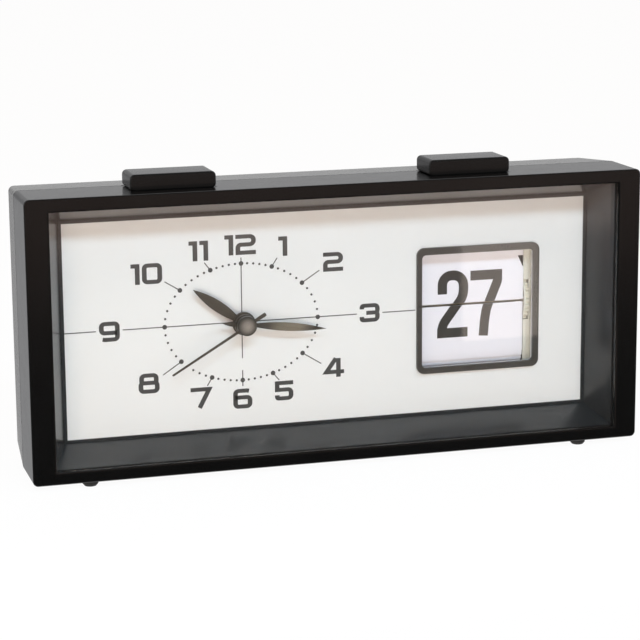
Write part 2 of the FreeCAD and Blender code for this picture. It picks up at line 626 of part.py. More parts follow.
def window_frame():
    """The dark rim round the date window: it lines the hole and stands a little proud."""
    def ring(name, left, right, low, high, radius, y):
        block = box(name + "_block", (left, right), y, (low, high))
        return round_edges(name + "_round", block, radius,
                           lambda edge: runs_along(edge, Vector(0, 1, 0)))
    gap = "slip / 2"
    face = ring("rim_face", "window_left - rim_width", "window_right + rim_width",
                "window_low_z - rim_width", "window_high_z + rim_width", "rim_radius",
                ("dial_y - rim_proud", "dial_y"))
    lining = ring("rim_lining", f"window_left + {gap}", f"window_right - {gap}",
                  f"window_low_z + {gap}", f"window_high_z - {gap}", "window_radius",
                  ("dial_y - rim_proud / 2", "chassis_y"))
    hole = ring("rim_hole", "window_left + 0.5", "window_right - 0.5", "window_low_z + 0.5",
                "window_high_z - 0.5", "window_radius", ("dial_y - rim_proud - 1", "chassis_y + 1"))
    return node("window_frame", cut("rim", fuse("rim_solid", face, lining), hole))


def shelf(key):
    """A ledge behind the dial that carries a button's spring and guides its stem."""
    middle = f"{key}_x"
    ledge = box(f"{key}_shelf", (f"{middle} - shelf_length / 2", f"{middle} + shelf_length / 2"),
                ("chassis_y", "movement_y + shelf_reach"), ("shelf_z - shelf_thickness", "shelf_z"))
    hole = rod(f"{key}_shelf_hole", "z", "guide_radius + slip", ("shelf_z - 3", "shelf_z + 1"),
               (middle, "guide_y"))
    return ledge, hole


EARS = {
    "movement_left": "dial_x - movement_size / 2 - calendar_ear / 2",
    "movement_right": "dial_x + movement_size / 2 + calendar_ear / 2",
    "calendar_left": "plate_left - plate_thickness - calendar_ear / 2",
    "calendar_right": "plate_right + plate_thickness + calendar_ear / 2",
}


def inner_chassis():
    plate = box("chassis_plate", ("-case_half + chassis_side", "case_half - chassis_side"),
                ("chassis_y", "movement_y"), ("flange_low_z", "flange_high_z"))
    solids, holes = [plate], []
    holes.append(box("chassis_window", ("plate_left", "plate_right"),
                     ("chassis_y - 1", "movement_y + 1"),
                     ("window_low_z - well_gap", "window_high_z + well_gap")))
    holes.append(rod("chassis_bush", "y", "alarm_pipe + 3 * run", ("chassis_y - 1", "movement_y + 1"),
                     ("dial_x", "hub_z")))
    wall = ("plate_right", "plate_right + well_wall")
    depth = ("movement_y - 0.5", "movement_y + well_depth")
    solids.append(box("well_wall_low", wall, depth, ("window_low_z - well_gap - well_wall",
                                                     "base_z + plate_low - slip")))
    solids.append(box("well_wall_high", wall, depth, ("base_z + plate_high + slip",
                                                      "window_high_z + well_gap + well_wall")))
    solids.append(box("well_roof", ("leaf_left", "plate_right + well_wall"),
                      ("movement_y - 0.5", "leaf_y - leaf_thickness - slip"),
                      ("window_high_z + well_gap", "window_high_z + well_gap + well_wall")))
    for ear, x in EARS.items():
        solids.append(rod("chassis_boss_" + ear, "y", "boss_radius",
                          ("movement_y - 0.5", "movement_y + boss_length"), (x, "hub_z")))
        holes.append(rod("chassis_pilot_" + ear, "y", "small_screw_radius + run",
                         ("movement_y", "movement_y + boss_length + 1"), (x, "hub_z")))
    for side in (-1, 1):
        for level, height in (("low", "flange_low_z + boss_radius"),
                              ("high", "flange_high_z - boss_radius")):
            holes.append(rod(f"chassis_hole_{level}_{side + 1}", "y", "small_screw_radius + slip",
                             ("chassis_y - 1", "movement_y + 1"),
                             (f"{side} * chassis_screw_x", height)))
    for key in ("snooze", "advance"):
        ledge, hole = shelf(key)
        solids.append(ledge)
        holes.append(hole)
    return node("inner_chassis", cut("chassis", fuse("chassis_solid", *solids), *holes))


def chassis_screws():
    made = []
    for side in (-1, 1):
        for level, height in (("low", "flange_low_z + boss_radius"),
                              ("high", "flange_high_z - boss_radius")):
            made.append(screw(f"chassis_screw_{level}_{side + 1}", "small_screw_radius",
                              "small_head_radius", "small_head_height", "ledge_y + 0.2",
                              "movement_y", (f"{side} * chassis_screw_x", height)))
    return node("chassis_screws", fuse("chassis_screw_set", *made))


def ear_screws(label, ears):
    made = [screw("screw_" + ear, "small_screw_radius", "small_head_radius", "small_head_height",
                  "movement_y + 0.4", "movement_y + boss_length + ear_thickness",
                  (EARS[ear], "hub_z")) for ear in ears]
    return node(label, fuse(label + "_set", *made))


# ---------------------------------------------------------------- toothed wheels
def toothed_face(teeth, module):
    """A wheel's outline in the XZ plane about its own centre, its first tooth on the +X side.

    The teeth are short and slim, so that a pair in mesh keeps a wide backlash."""
    pitch_radius = teeth * module / 2
    tip, root = pitch_radius + 0.7 * module, pitch_radius - 1.15 * module
    tooth = 2 * math.pi / teeth
    points = []
    for i in range(teeth):
        for radius, share in ((root, -0.27), (tip, -0.12), (tip, 0.12), (root, 0.27)):
            angle = (i + share) * tooth
            points.append(Vector(radius * math.cos(angle), 0, radius * math.sin(angle)))
    return Part.Face(Part.makePolygon(points + points[:1]))


def teeth(wheel):
    return round(size(wheel + "_teeth"))


def toothed(wheel, module, turn, x, z, y_low, y_high):
    """A toothed disc between two depths, turned so that its first tooth points at an angle."""
    face = toothed_face(teeth(wheel), size("module_" + module))
    face.rotate(Vector(), Vector(0, 1, 0), -turn)
    face.translate(Vector(x, y_low, z))
    return face.extrude(Vector(0, y_high - y_low, 0))


def pipe(x, z, radius, bore, y_low, y_high):
    along = Vector(0, 1, 0)
    tube = Part.makeCylinder(radius, y_high - y_low, Vector(x, y_low, z), along)
    if bore:
        tube = tube.cut(Part.makeCylinder(bore, y_high - y_low + 2, Vector(x, y_low - 1, z), along))
    return tube


def plane(name, extra=0.0):
    """The front and back depths of a wheel in the movement, or of a longer pinion."""
    low = size("movement_y") + size("plane_" + name)
    return low - extra, low + size("wheel_thickness") + extra


def gap_turn(wheel, direction):
    """The turn that sets a gap, not a tooth, of a wheel in a given direction."""
    return direction + 180.0 / teeth(wheel)


def train():
    cx, cz = size("dial_x"), size("hub_z")
    extra = size("pinion_extra")
    front, back = size("dial_y"), size("movement_back_y") - size("movement_wall")
    pivot, bearing = size("pivot_length"), size("movement_y") + size("movement_wall")
    thin = size("train_arbor_radius")

    second = pipe(cx, cz, size("arbor_radius"), 0,
                  front - size("second_lift") - size("second_hub_height") / 2 + size("cap_wall"),
                  back + pivot)
    node("second_arbor", shaped("second_arbor_piece", second))
    low, high = plane("second")
    wheel = toothed("drive_wheel", "drive", 0, cx, cz, low, high)
    low, high = plane("third", extra)
    pinion = toothed("second_pinion", "second", size("third_angle"), cx, cz, low,
                     plane("second")[0])
    bore = pipe(cx, cz, size("arbor_radius"), 0, low - 1, plane("second")[1] + 1)
    node("second_wheel", shaped("second_wheel_piece", wheel.fuse(pinion).cut(bore)))

    tx, tz = size("third_x"), size("third_z")
    toward_centre = size("third_angle") + 180
    low, high = plane("third")
    wheel = toothed("third_wheel", "second", gap_turn("third_wheel", toward_centre), tx, tz,
                    low, high)
    pinion = toothed("third_pinion", "centre", toward_centre, tx, tz, plane("centre", extra)[0],
                     low)
    arbor = pipe(tx, tz, thin, 0, bearing - pivot, back + pivot)
    node("third_wheel", shaped("third_wheel_piece", wheel.fuse([pinion, arbor])))

    low, high = plane("centre")
    wheel = toothed("centre_wheel", "centre",
                    gap_turn("centre_wheel", size("third_angle")), cx, cz, low, high)
    bore = pipe(cx, cz, size("minute_pipe") + size("run") / 2, 0, low - 1, high + 1)
    node("centre_wheel", shaped("centre_wheel_piece", wheel.cut(bore)))


def motion_work():
    cx, cz = size("dial_x"), size("hub_z")
    extra, front = size("pinion_extra"), size("dial_y")
    back, pivot = size("movement_back_y") - size("movement_wall"), size("pivot_length")
    bearing = size("movement_y") + size("movement_wall")
    direction = size("motion_angle")

    low, high = plane("motion", extra)
    cannon = toothed("cannon_pinion", "cannon", direction, cx, cz, low, high)
    tube = pipe(cx, cz, size("minute_pipe"), 0, front - size("minute_lift") - size("hub_height") / 2,
                plane("centre", extra)[1])
    bore = pipe(cx, cz, size("minute_bore"), 0, front - size("movement_depth"), back)
    node("minute_pipe", shaped("minute_pipe_piece", cannon.fuse(tube).cut(bore)))

    mx, mz = size("motion_x"), size("motion_z")
    low, high = plane("motion")
    wheel = toothed("motion_wheel", "cannon", gap_turn("motion_wheel", direction + 180), mx, mz,
                    low, high)
    pinion = toothed("motion_pinion", "hour", direction + 180, mx, mz, plane("hour", extra)[0],
                     low)
    arbor = pipe(mx, mz, size("train_arbor_radius"), 0, bearing - pivot, back + pivot)
    node("motion_wheel", shaped("motion_wheel_piece", wheel.fuse([pinion, arbor])))

    low, high = plane("hour")
    wheel = toothed("hour_wheel", "hour", gap_turn("hour_wheel", direction), cx, cz, low, high)
    tube = pipe(cx, cz, size("hour_pipe"), 0, front - size("hour_lift") - size("hub_height") / 2,
                high)
    bore = pipe(cx, cz, size("hour_bore"), 0, front - size("movement_depth"), high + 1)
    node("hour_wheel", shaped("hour_wheel_piece", wheel.fuse(tube).cut(bore)))

    stem_direction = size("alarm_stem_angle")
    low, high = plane("alarm")
    wheel = toothed("alarm_wheel", "alarm", gap_turn("alarm_wheel", stem_direction), cx,
                    cz, low, high)
    tube = pipe(cx, cz, size("alarm_pipe"), 0, front - size("alarm_lift"), high)
    bore = pipe(cx, cz, size("alarm_bore"), 0, front - size("movement_depth"), high + 1)
    node("alarm_wheel", shaped("alarm_wheel_piece", wheel.fuse(tube).cut(bore)))


def stems():
    """The two setting stems, each with a pinion tooth in the gap that its wheel shows it."""
    extra, gap = size("pinion_extra"), size("knob_gap")
    stems_wanted = (("time", "cannon_pinion", "cannon", "motion", "motion_angle"),
                    ("alarm", "alarm_pinion", "alarm", "alarm", "alarm_stem_angle"))
    for key, wheel, module, level, angle in stems_wanted:
        x, z = size(key + "_stem_x"), size(key + "_stem_z")
        low, high = plane(level, extra)
        pinion = toothed(wheel, module, size(angle) + 180, x, z, low, high)
        rod_back = size("knob_y") + size("knob_proud") / 2
        stem = pipe(x, z, size("stem_radius"), 0, low, rod_back - gap)
        node(key + "_set_stem", shaped(key + "_stem_piece", pinion.fuse(stem)))


def movement_cases():
    half = "movement_size / 2"
    x = (f"dial_x - {half}", f"dial_x + {half}")
    z = (f"hub_z - {half}", f"hub_z + {half}")
    inner_x = (f"{x[0]} + movement_wall", f"{x[1]} - movement_wall")
    inner_z = (f"{z[0]} + movement_wall", f"{z[1]} - movement_wall")
    front = box("movement_front_block", x, ("movement_y", "movement_split_y"), z)
    ears = []
    for ear in ("movement_left", "movement_right"):
        reach = "(calendar_ear / 2)"
        side = EARS[ear]
        ears.append(box(ear + "_ear", (f"{side} - {reach}", f"{side} + {reach}"),
                        ("movement_y + boss_length", "movement_y + boss_length + ear_thickness"),
                        ("hub_z - boss_radius", "hub_z + boss_radius")))
    bores = [box("movement_front_room", inner_x, ("movement_y + movement_wall", "movement_split_y + 1"),
                 inner_z),
             rod("bush_hole", "y", "alarm_pipe + run", ("movement_y - 1", "movement_split_y"),
                 ("dial_x", "hub_z"))]
    for ear in ("movement_left", "movement_right"):
        bores.append(rod(ear + "_hole", "y", "small_screw_radius + slip",
                         ("movement_y", "movement_y + 10"), (EARS[ear], "hub_z")))
    bearing = "train_arbor_radius + run / 2"
    spots = {"third": ("third_x", "third_z"), "motion": ("motion_x", "motion_z")}
    for key, spot in spots.items():
        bores.append(rod(key + "_front_bearing", "y", bearing, ("movement_y - 1", "movement_split_y"),
                         spot))
    node("movement_front", cut("movement_front_case", fuse("movement_front_solid", front, *ears),
                               *bores))

    rear = box("movement_rear_block", x, ("movement_split_y", "movement_back_y"), z)
    bores = [box("movement_rear_room", inner_x,
                 ("movement_split_y - 1", "movement_back_y - movement_wall"), inner_z)]
    for key, spot in spots.items():
        bores.append(rod(key + "_rear_bearing", "y", bearing,
                         ("movement_split_y", "movement_back_y - movement_wall + pivot_length + run"),
                         spot))
    bores.append(rod("second_rear_bearing", "y", "arbor_radius + run / 2",
                     ("movement_split_y", "movement_back_y - movement_wall + pivot_length + run"),
                     ("dial_x", "hub_z")))
    for key in ("time", "alarm"):
        bores.append(rod(key + "_stem_bearing", "y", "stem_radius + run",
                         ("movement_split_y", "movement_back_y + 1"),
                         (f"{key}_stem_x", f"{key}_stem_z")))
    node("movement_rear", cut("movement_rear_case", rear, *bores))


def electronics():
    """The quartz circuit board and the stepping motor, on the rear half's inner wall."""
    wall_y = "movement_back_y - movement_wall"
    half = "(movement_size / 2 - movement_wall - slip)"
    board_top = "hub_z - centre_to_stem - stem_radius - 1"
    board = box("board", (f"dial_x - {half}", f"dial_x + {half}"), (f"{wall_y} - 2.6", f"{wall_y} - 1.4"),
                (f"hub_z - {half}", board_top))
    standoffs = [rod(f"board_post_{side + 1}", "y", "1.6", (f"{wall_y} - 1.4", wall_y),
                     (f"dial_x + {side} * (movement_size / 2 - 5)", "hub_z - movement_size / 2 + 7"))
                 for side in (-1, 1)]
    crystal = rod("crystal", "x", "1.5", ("dial_x + 6", "dial_x + 14"),
                  (f"{wall_y} - 3.9", "hub_z - movement_size / 2 + 8"))
    chip = box("chip", ("dial_x - 12", "dial_x - 6"), (f"{wall_y} - 3.8", f"{wall_y} - 2.6"),
               ("hub_z - movement_size / 2 + 5", "hub_z - movement_size / 2 + 11"))
    node("circuit_board", fuse("circuit", board, crystal, chip, *standoffs))

    left = f"dial_x - {half} + 1"
    stator = box("stator", (left, f"{left} + 22"), (f"{wall_y} - 1.2", wall_y),
                 ("hub_z + 13", "hub_z + 24"))
    legs = [box(f"motor_leg_{i}", (f"{left} + {i} * 15", f"{left} + {i} * 15 + 3"),
                (f"{wall_y} - 4.6", wall_y), ("hub_z + 18", "hub_z + 21")) for i in (0, 1)]
    coil = rod("coil", "x", "2.8", (f"{left} + 3", f"{left} + 15"), (f"{wall_y} - 4.4", "hub_z + 19.5"))
    node("stepper_motor", fuse("motor", stator, coil, *legs))


# ---------------------------------------------------------------- hands
def leaf_blade(name, length, width, y):
    """A pointed leaf: the part that two large discs share, from the centre to the tip."""
    bend = f"(({length})^2 / 4 + ({width})^2 / 4) / ({width})"
    discs = []
    for side in (-1, 1):
        discs.append(rod(f"{name}_edge_{side + 1}", "y", bend, y,
                         (f"{side} * ({bend} - ({width}) / 2)", f"({length}) / 2")))
    return common(name, *discs)


def set_hand(label, solid, angle):
    """Turns a hand that is made pointing up to its place on the dial's centre."""
    solid.Placement = FreeCAD.Placement(Vector(), Rotation(Vector(0, 1, 0), 90))
    solid.setExpression("Placement.Rotation.Angle", bound(f"{angle} * 1 deg"))
    put(solid, "dial_x", "0", "hub_z")
    return node(label, solid)


def hands():
    def hub(key, bore):
        y = (f"dial_y - {key}_lift - hub_height / 2", f"dial_y - {key}_lift + hub_height / 2")
        disc = rod(f"{key}_hub_disc", "y", f"{key}_hub", y, ("0", "0"))
        hole = rod(f"{key}_hub_bore", "y", f"{bore} + run / 5", (f"{y[0]} - 1", f"{y[1]} + 1"),
                   ("0", "0"))
        return disc, hole

    def flat(key):
        return (f"dial_y - {key}_lift - hand_thickness / 2", f"dial_y - {key}_lift + hand_thickness / 2")

    for key, bore in (("hour", "hour_pipe"), ("alarm", "alarm_pipe")):
        disc, hole = hub(key, bore)
        blade = leaf_blade(key + "_blade", f"{key}_length", f"{key}_width", flat(key))
        set_hand(key + "_hand", cut(key + "_hand_piece", fuse(key + "_solid", disc, blade), hole),
                 key + "_angle")
    disc, hole = hub("minute", "minute_pipe")
    blade = leaf_blade("minute_blade", "minute_length", "minute_width", flat("minute"))
    tail = leaf_blade("minute_tail_blade", "minute_tail * 2", "tail_width", flat("minute"))
    put(tail, "0", "0", "-minute_tail")
    set_hand("minute_hand", cut("minute_hand_piece", fuse("minute_solid", disc, blade, tail), hole),
             "minute_angle")

    y = flat("second")
    needle = box("second_needle", ("-second_width / 2", "second_width / 2"), y, ("0", "second_length"))
    tail = box("second_tail_bar", ("-second_tail_width / 2", "second_tail_width / 2"), y,
               ("-second_tail", "0"))
    boss = rod("second_boss", "y", "second_hub",
               ("dial_y - second_lift - second_hub_height / 2",
                "dial_y - second_lift + second_hub_height / 2"), ("0", "0"))
    front = size("dial_y") - size("second_lift") - size("second_hub_height") / 2
    rounded = round_edges("second_dome", boss, "hub_round",
                          lambda edge: abs(edge.BoundBox.Center.y - front) < 0.01)
    bore = rod("second_bore", "y", "arbor_radius + run / 5",
               ("dial_y - second_lift - second_hub_height / 2 + cap_wall", "dial_y"), ("0", "0"))
    set_hand("second_hand", cut("second_hand_piece",
                                fuse("second_solid", rounded, needle, tail), bore), "second_angle")


# ---------------------------------------------------------------- rear controls
def knobs():
    for key in ("time", "alarm"):
        rim = "knob_radius"
        bore = "stem_radius + run / 5"
        points = [(bore, "0"), (f"{rim} - 1", "0"), (rim, "1"), (rim, "knob_proud - knob_gap - 0.8"),
                  (f"{rim} - 0.8", "knob_proud - knob_gap"),
                  (f"{rim} - 2.2", "knob_proud - knob_gap"),
                  (f"{rim} - 2.8", "knob_proud - knob_gap - 0.7"),
                  ("0", "knob_proud - knob_gap - 0.7"), ("0", "knob_proud / 2 - knob_gap + slip"),
                  (bore, "knob_proud / 2 - knob_gap + slip")]
        body, blank = turned(key + "_knob", points, f"{key}_stem_x", "knob_y", f"{key}_stem_z",
                             spin=Rotation(Vector(1, 0, 0), -90))
        flute = new_sketch(body, key + "_flute", "XY_Plane")
        flute.addGeometry(Part.Circle(Vector(7, 0, 0), Vector(0, 0, 1), 1), False)
        for constraint, text in ((Sketcher.Constraint("Radius", 0, 1), "flute_radius"),
                                 (Sketcher.Constraint("DistanceX", -1, 1, 0, 3, 7),
                                  "knob_radius + flute_radius / 3"),
                                 (Sketcher.Constraint("PointOnObject", 0, 3, -1), None)):
            index = flute.addConstraint(constraint)
            if text:
                flute.setExpression(f"Constraints[{index}]", bound(text))
        groove = body.newObject("PartDesign::Pocket", key + "_flute_cut")
        groove.Profile = flute
        groove.Type = "ThroughAll"
        groove.Reversed = True
        doc.recompute()
        pattern = body.newObject("PartDesign::PolarPattern", key + "_flutes")
        pattern.Originals = [groove]
        pattern.Axis = (plane_axis(body, "Z_Axis"), [""])
        pattern.Angle = 360
        pattern.setExpression("Occurrences", bound("flute_count"))
        body.Tip = pattern
        node(key + "_set_knob", body)


def plane_axis(body, role):
    return next(f for f in body.Origin.OriginFeatures if f.Role == role)


def alarm_switch():
    x, z = "switch_x", "base_z + switch_z"
    case = box("switch_case", (f"{x} - switch_length / 2", f"{x} + switch_length / 2"),
               ("inner_back_y - switch_depth", "inner_back_y"),
               (f"{z} - switch_height / 2", f"{z} + switch_height / 2"))
    reach = "(slider_length + slider_travel) / 2 + slip"
    room = box("switch_room", (f"{x} - ({reach})", f"{x} + {reach}"),
               ("inner_back_y - slider_thickness - 2 * slip", "inner_back_y + 1"),
               (f"{z} - slider_height / 2 - slip", f"{z} + slider_height / 2 + slip"))
    node("alarm_switch_case", cut("switch_body", case, room))
    left = f"{x} - slider_travel / 2"
    slider = box("slider_plate", (f"{left} - slider_length / 2", f"{left} + slider_length / 2"),
                 ("inner_back_y - slider_thickness - slip", "inner_back_y - slip"),
                 (f"{z} - slider_height / 2", f"{z} + slider_height / 2"))
    thumb = box("slider_thumb", (f"{left} - thumb_length / 2", f"{left} + thumb_length / 2"),
                ("inner_back_y - slip - 0.2", "back_y + thumb_proud"),
                (f"{z} - thumb_height / 2", f"{z} + thumb_height / 2"))
    ribs = [box(f"thumb_groove_{i}", (f"{left} + {i} * 1.1 - 0.25", f"{left} + {i} * 1.1 + 0.25"),
                ("back_y + thumb_proud - 0.4", "back_y + thumb_proud + 1"),
                (f"{z} - thumb_height", f"{z} + thumb_height")) for i in (-1, 0, 1)]
    node("alarm_switch_slider", cut("slider", fuse("slider_solid", slider, thumb), *ribs))


def buzzer():
    spot = ("buzzer_x", "base_z + buzzer_z")
    can = rod("buzzer_can", "y", "buzzer_radius", ("inner_back_y - buzzer_height", "inner_back_y"), spot)
    dish = rod("buzzer_dish", "y", "buzzer_radius - 1.5", ("inner_back_y - 1.2", "inner_back_y + 1"), spot)
    magnet = rod("buzzer_magnet", "y", "buzzer_radius / 2",
                 ("inner_back_y - buzzer_height - 2", "inner_back_y - buzzer_height + 1"), spot)
    node("buzzer", cut("buzzer_unit", fuse("buzzer_solid", can, magnet), dish))


def battery_bay():
    def block(name, grow, y):
        return box(name, (f"cell_x - room_half - {grow}", f"cell_x + room_half + {grow}"), y,
                   (f"room_low_z - {grow}", f"room_high_z + {grow}"))
    front = "cell_y - room_half"
    tray = cut("tray", block("tray_outer", "holder_wall", (f"{front} - holder_wall", "inner_back_y")),
               block("tray_inner", "0", (front, "inner_back_y + 1")))
    node("battery_tray", tray)
    spot = ("cell_x", "cell_y")
    can = rod("cell_can", "z", "cell_radius", ("cell_low_z", "cell_high_z - 1"), spot)
    button = rod("cell_button", "z", "cell_radius * 0.38", ("cell_low_z", "cell_high_z"), spot)
    node("battery", fuse("cell", can, button))
    plate = "cell_radius * 0.8"
    y = (f"cell_y - {plate}", f"cell_y + {plate}")
    top = box("plus_plate", (f"cell_x - {plate}", f"cell_x + {plate}"), y,
              ("room_high_z - contact_thickness", "room_high_z"))
    top_post = rod("plus_dimple", "z", "1.6", ("cell_high_z", "room_high_z - contact_thickness"), spot)
    low = box("minus_plate", (f"cell_x - {plate}", f"cell_x + {plate}"), y,
              ("room_low_z", "room_low_z + contact_thickness"))
    doc.recompute()
    coil = coil_spring(size("cell_x"), size("cell_y"),
                       size("room_low_z") + size("contact_thickness") / 2, size("cell_low_z"),
                       size("cell_radius") / 2, size("contact_thickness"), 3)
    node("battery_contacts", fuse("contacts", fuse("plus_contact", top, top_post),
                                  fuse("minus_contact", low, shaped("minus_coil", coil))))
    lap = "door_lap"
    door = box("door_plate", (f"cell_x - room_half - {lap}", f"cell_x + room_half + {lap}"),
               ("back_y - door_thickness", "back_y"), (f"room_low_z - {lap}", f"room_high_z + {lap}"))
    plug = cut("door_rim", block("door_plug", "-slip", ("back_y - back_wall", "back_y - door_thickness")),
               block("door_hollow", "-slip - 1.2", ("back_y - back_wall - 1", "back_y")))
    grip = rod("door_grip", "x", "1.4", ("cell_x - 5", "cell_x + 5"), ("back_y + 0.7", "room_low_z + 3"))
    node("battery_door", cut("door", fuse("door_solid", door, plug), grip))


def coil_spring(x, y, low, high, radius, wire, turns):
    """A coil of many-sided wire, drawn nearly round, that fills the height between two faces."""
    height = high - low - 2 * wire
    helix = Part.makeHelix(height / turns, height, radius)
    start = helix.Vertexes[0].Point
    sides = int(size("wire_side_count"))
    angles = [2 * math.pi * side / sides for side in range(sides + 1)]
    corners = [start + Vector(wire * math.cos(angle), 0, wire * math.sin(angle))
               for angle in angles]
    body = Part.Wire(helix.Edges).makePipeShell([Part.makePolygon(corners)], True, True)
    body.translate(Vector(x, y, low + wire))
    return body


# ---------------------------------------------------------------- top buttons
def button(key):
    x = f"{key}_x"
    front = "front_y + button_front"
    span = (f"{x} - button_length / 2", f"{x} + button_length / 2")
    deep = (front, f"{front} + button_depth")
    cap = box(key + "_cap_block", span, deep, ("top_z - button_sink", "top_z + button_height"))
    doc.recompute()
    bottom = size("top_z") - size("button_sink")
    rounded = round_edges(key + "_cap", cap, "button_round",
                          lambda edge: edge.BoundBox.ZMax > bottom + 0.01)
    tab = box(key + "_tab", (f"{span[0]} - tab_width", f"{span[1]} + tab_width"),
              (f"{front} + tab_setback", deep[1]), ("tab_z", "tab_top_z"))
    neck = box(key + "_neck", span, (f"{front} + tab_setback", deep[1]),
               ("tab_z", "top_z - button_sink + 1"))
    tip = "snooze_tip_z" if key == "snooze" else "pawl_tip_z"
    guide = rod(key + "_guide", "z", "guide_radius", (tip, "tab_z + 0.5"), (x, "guide_y"))
    return node(key + "_button", fuse(key + "_button_piece", rounded, tab, neck, guide))


def button_spring(key):
    doc.recompute()
    coil = coil_spring(size(key + "_x"), size("guide_y"), size("shelf_z"), size("tab_z"),
                       size("spring_radius"), size("spring_wire") / 2, size("turn_count"))
    return node(key + "_spring", shaped(key + "_spring_piece", coil))


def snooze_contact():
    """A small switch on top of the movement, with a plunger that the button's stem presses."""
    case = box("contact_case", ("snooze_x - contact_length / 2", "snooze_x + contact_length / 2"),
               ("movement_y + slip", "movement_y + slip + contact_depth"),
               ("hub_z + movement_size / 2", "plunger_z - plunger_height"))
    plunger = rod("contact_plunger", "z", "plunger_radius",
                  ("plunger_z - plunger_height * 2", "plunger_z"), ("snooze_x", "guide_y"))
    return node("snooze_contact", fuse("contact", case, plunger))


# ---------------------------------------------------------------- flip calendar
def leaf_plate(name, y, low, high, notch_top=None):
    plate = box(name + "_plate", ("leaf_left", "leaf_right"),
                (f"{y} - leaf_thickness / 2", f"{y} + leaf_thickness / 2"), (low, high))
    if not notch_top:
        return plate
    corner = doc.addObject("Part::Wedge", name + "_notch")
    corner.Placement = FreeCAD.Placement(Vector(), Rotation(Vector(1, 0, 0), -90))
    ends = {"Xmin": "0", "Xmax": "notch_width", "X2min": "notch_width - 0.01",
            "X2max": "notch_width", "Ymin": "0", "Ymax": "notch_height",
            "Zmin": "-1", "Zmax": "1", "Z2min": "-1", "Z2max": "1"}
    for side, text in ends.items():
        corner.setExpression(side, bound(text))
    put(corner, "leaf_right - notch_width + 0.05", y, notch_top)
    return cut(name + "_cut", plate, corner)


def stack_angle(k):
    return f"(({k} + 0.5) * step * 1 deg)"


def leaves():
    notch = "split_z + leaf_reach - notch_drop"
    flip = leaf_plate("flip", "leaf_y", "split_z + split_gap / 2", "split_z + leaf_reach", notch)
    pivot = ("leaf_y", "split_z + pivot_rise")
    pins = [rod("leaf_pin_left", "x", "pin_radius", ("leaf_left - leaf_end_gap - flange_thickness",
                                                    "leaf_left + 1"), pivot),
            rod("leaf_pin_right", "x", "pin_radius", ("leaf_right - 1",
                                                     "leaf_right + leaf_end_gap + flange_thickness"),
                pivot)]
    node("flip_leaf", fuse("flip_piece", flip, *pins))

    length = "(leaf_reach - pivot_rise)"
    upper = []
    lower = [leaf_plate("lower_0", "leaf_y + first_setback", "split_z - leaf_reach",
                        "split_z - split_gap / 2")]
    half_count = (int(size("leaf_count")) - 1) // 2
    for k in range(1, half_count):
        y = f"(axle_y - pivot_radius * cos{stack_angle(k)})"
        rise = f"(pivot_radius * sin{stack_angle(k)})"
        foot = "(pivot_rise - split_gap / 2)"
        upper.append(leaf_plate(f"upper_{k}", y, f"split_z + {rise} - {foot}",
                                f"split_z + {rise} + {length}"))
        lower.append(leaf_plate(f"lower_{k}", f"({y} + stack_setback)",
                                f"split_z - {rise} - {length}", f"split_z - {rise} + {foot}"))
    rear = "axle_y + pivot_radius + 2 * stack_setback"
    lower.append(leaf_plate("lower_rear", rear, f"split_z - {length}", "split_z"))
    node("upper_leaves", fuse("upper_stack", *upper))
    node("lower_leaves", fuse("lower_stack", *lower))


def ratchet_face(teeth, tip, root):
    """Saw teeth in the YZ plane: each has an upper face along a radius and one long slope."""
    tooth = 2 * math.pi / teeth
    points = []
    for i in range(teeth):
        start = math.pi + (i - 0.5) * tooth
        for radius, share in ((root, 0.0), (tip, 0.0), (tip, 0.12), (root, 0.9)):
            angle = start + share * tooth
            points.append(Vector(0, radius * math.cos(angle), radius * math.sin(angle)))
    return Part.Face(Part.makePolygon(points + points[:1]))


def drum():
    rim = "pivot_radius + flange_rim"
    spot = ("axle_y", "split_z")
    left = rod("drum_flange_left", "x", rim, ("flange_left - flange_thickness", "flange_left"), spot)
    right = rod("drum_flange_right", "x", rim, ("flange_right", "flange_right + flange_thickness"), spot)
    hub = rod("drum_hub_tube", "x", "drum_hub", ("flange_left - 0.1", "flange_right + 0.1"), spot)
    solid = fuse("drum_solid", left, right, hub)
    bore = rod("drum_bore", "x", "axle_radius + run / 2", ("plate_left", "plate_right"), spot)
    doc.recompute()
    count = int(size("leaf_count"))
    holes = []
    for k in range(count):
        angle = math.radians((k + 0.5) * size("step"))
        y = size("axle_y") - size("pivot_radius") * math.cos(angle)
        z = size("split_z") + size("pivot_radius") * math.sin(angle)
        holes.append(Part.makeCylinder(size("pin_hole"), size("leaf_width") + 10,
                                       Vector(size("leaf_left") - 5, y, z), Vector(1, 0, 0)))
    rows = shaped("pin_holes", Part.makeCompound(holes))
    node("calendar_drum", cut("drum_piece", solid, bore, rows))

    axle = Vector(0, size("axle_y"), size("split_z"))
    along = Vector(1, 0, 0)

    def wheel(name, label, face, x, thickness):
        disc = face.extrude(Vector(thickness, 0, 0))
        hole = Part.makeCylinder(size("axle_radius") + size("run") / 2, thickness + 2,
                                 Vector(-1, 0, 0), along)
        disc = disc.cut(hole)
        disc.translate(axle + Vector(x, 0, 0))
        node(label, shaped(name, disc))
    wheel("gear_piece", "drum_gear", gear_face(count, size("gear_tip"), size("gear_root")),
          size("flange_right") + size("flange_thickness"), size("gear_thickness"))
    wheel("ratchet_piece", "drum_ratchet",
          ratchet_face(count, size("ratchet_tip"), size("ratchet_root")),
          size("flange_left") - size("flange_thickness") - size("ratchet_thickness"),
          size("ratchet_thickness"))


def gear_face(teeth, tip, root):
    """Rounded detent teeth in the YZ plane, with a gap facing the back."""
    tooth = 2 * math.pi / teeth
    points = []
    for i in range(teeth):
        for radius, share in ((root, 0.16), (tip, 0.36), (tip, 0.64), (root, 0.84)):
            angle = (i + share) * tooth
            points.append(Vector(0, radius * math.cos(angle), radius * math.sin(angle)))
    return Part.Face(Part.makePolygon(points + points[:1]))


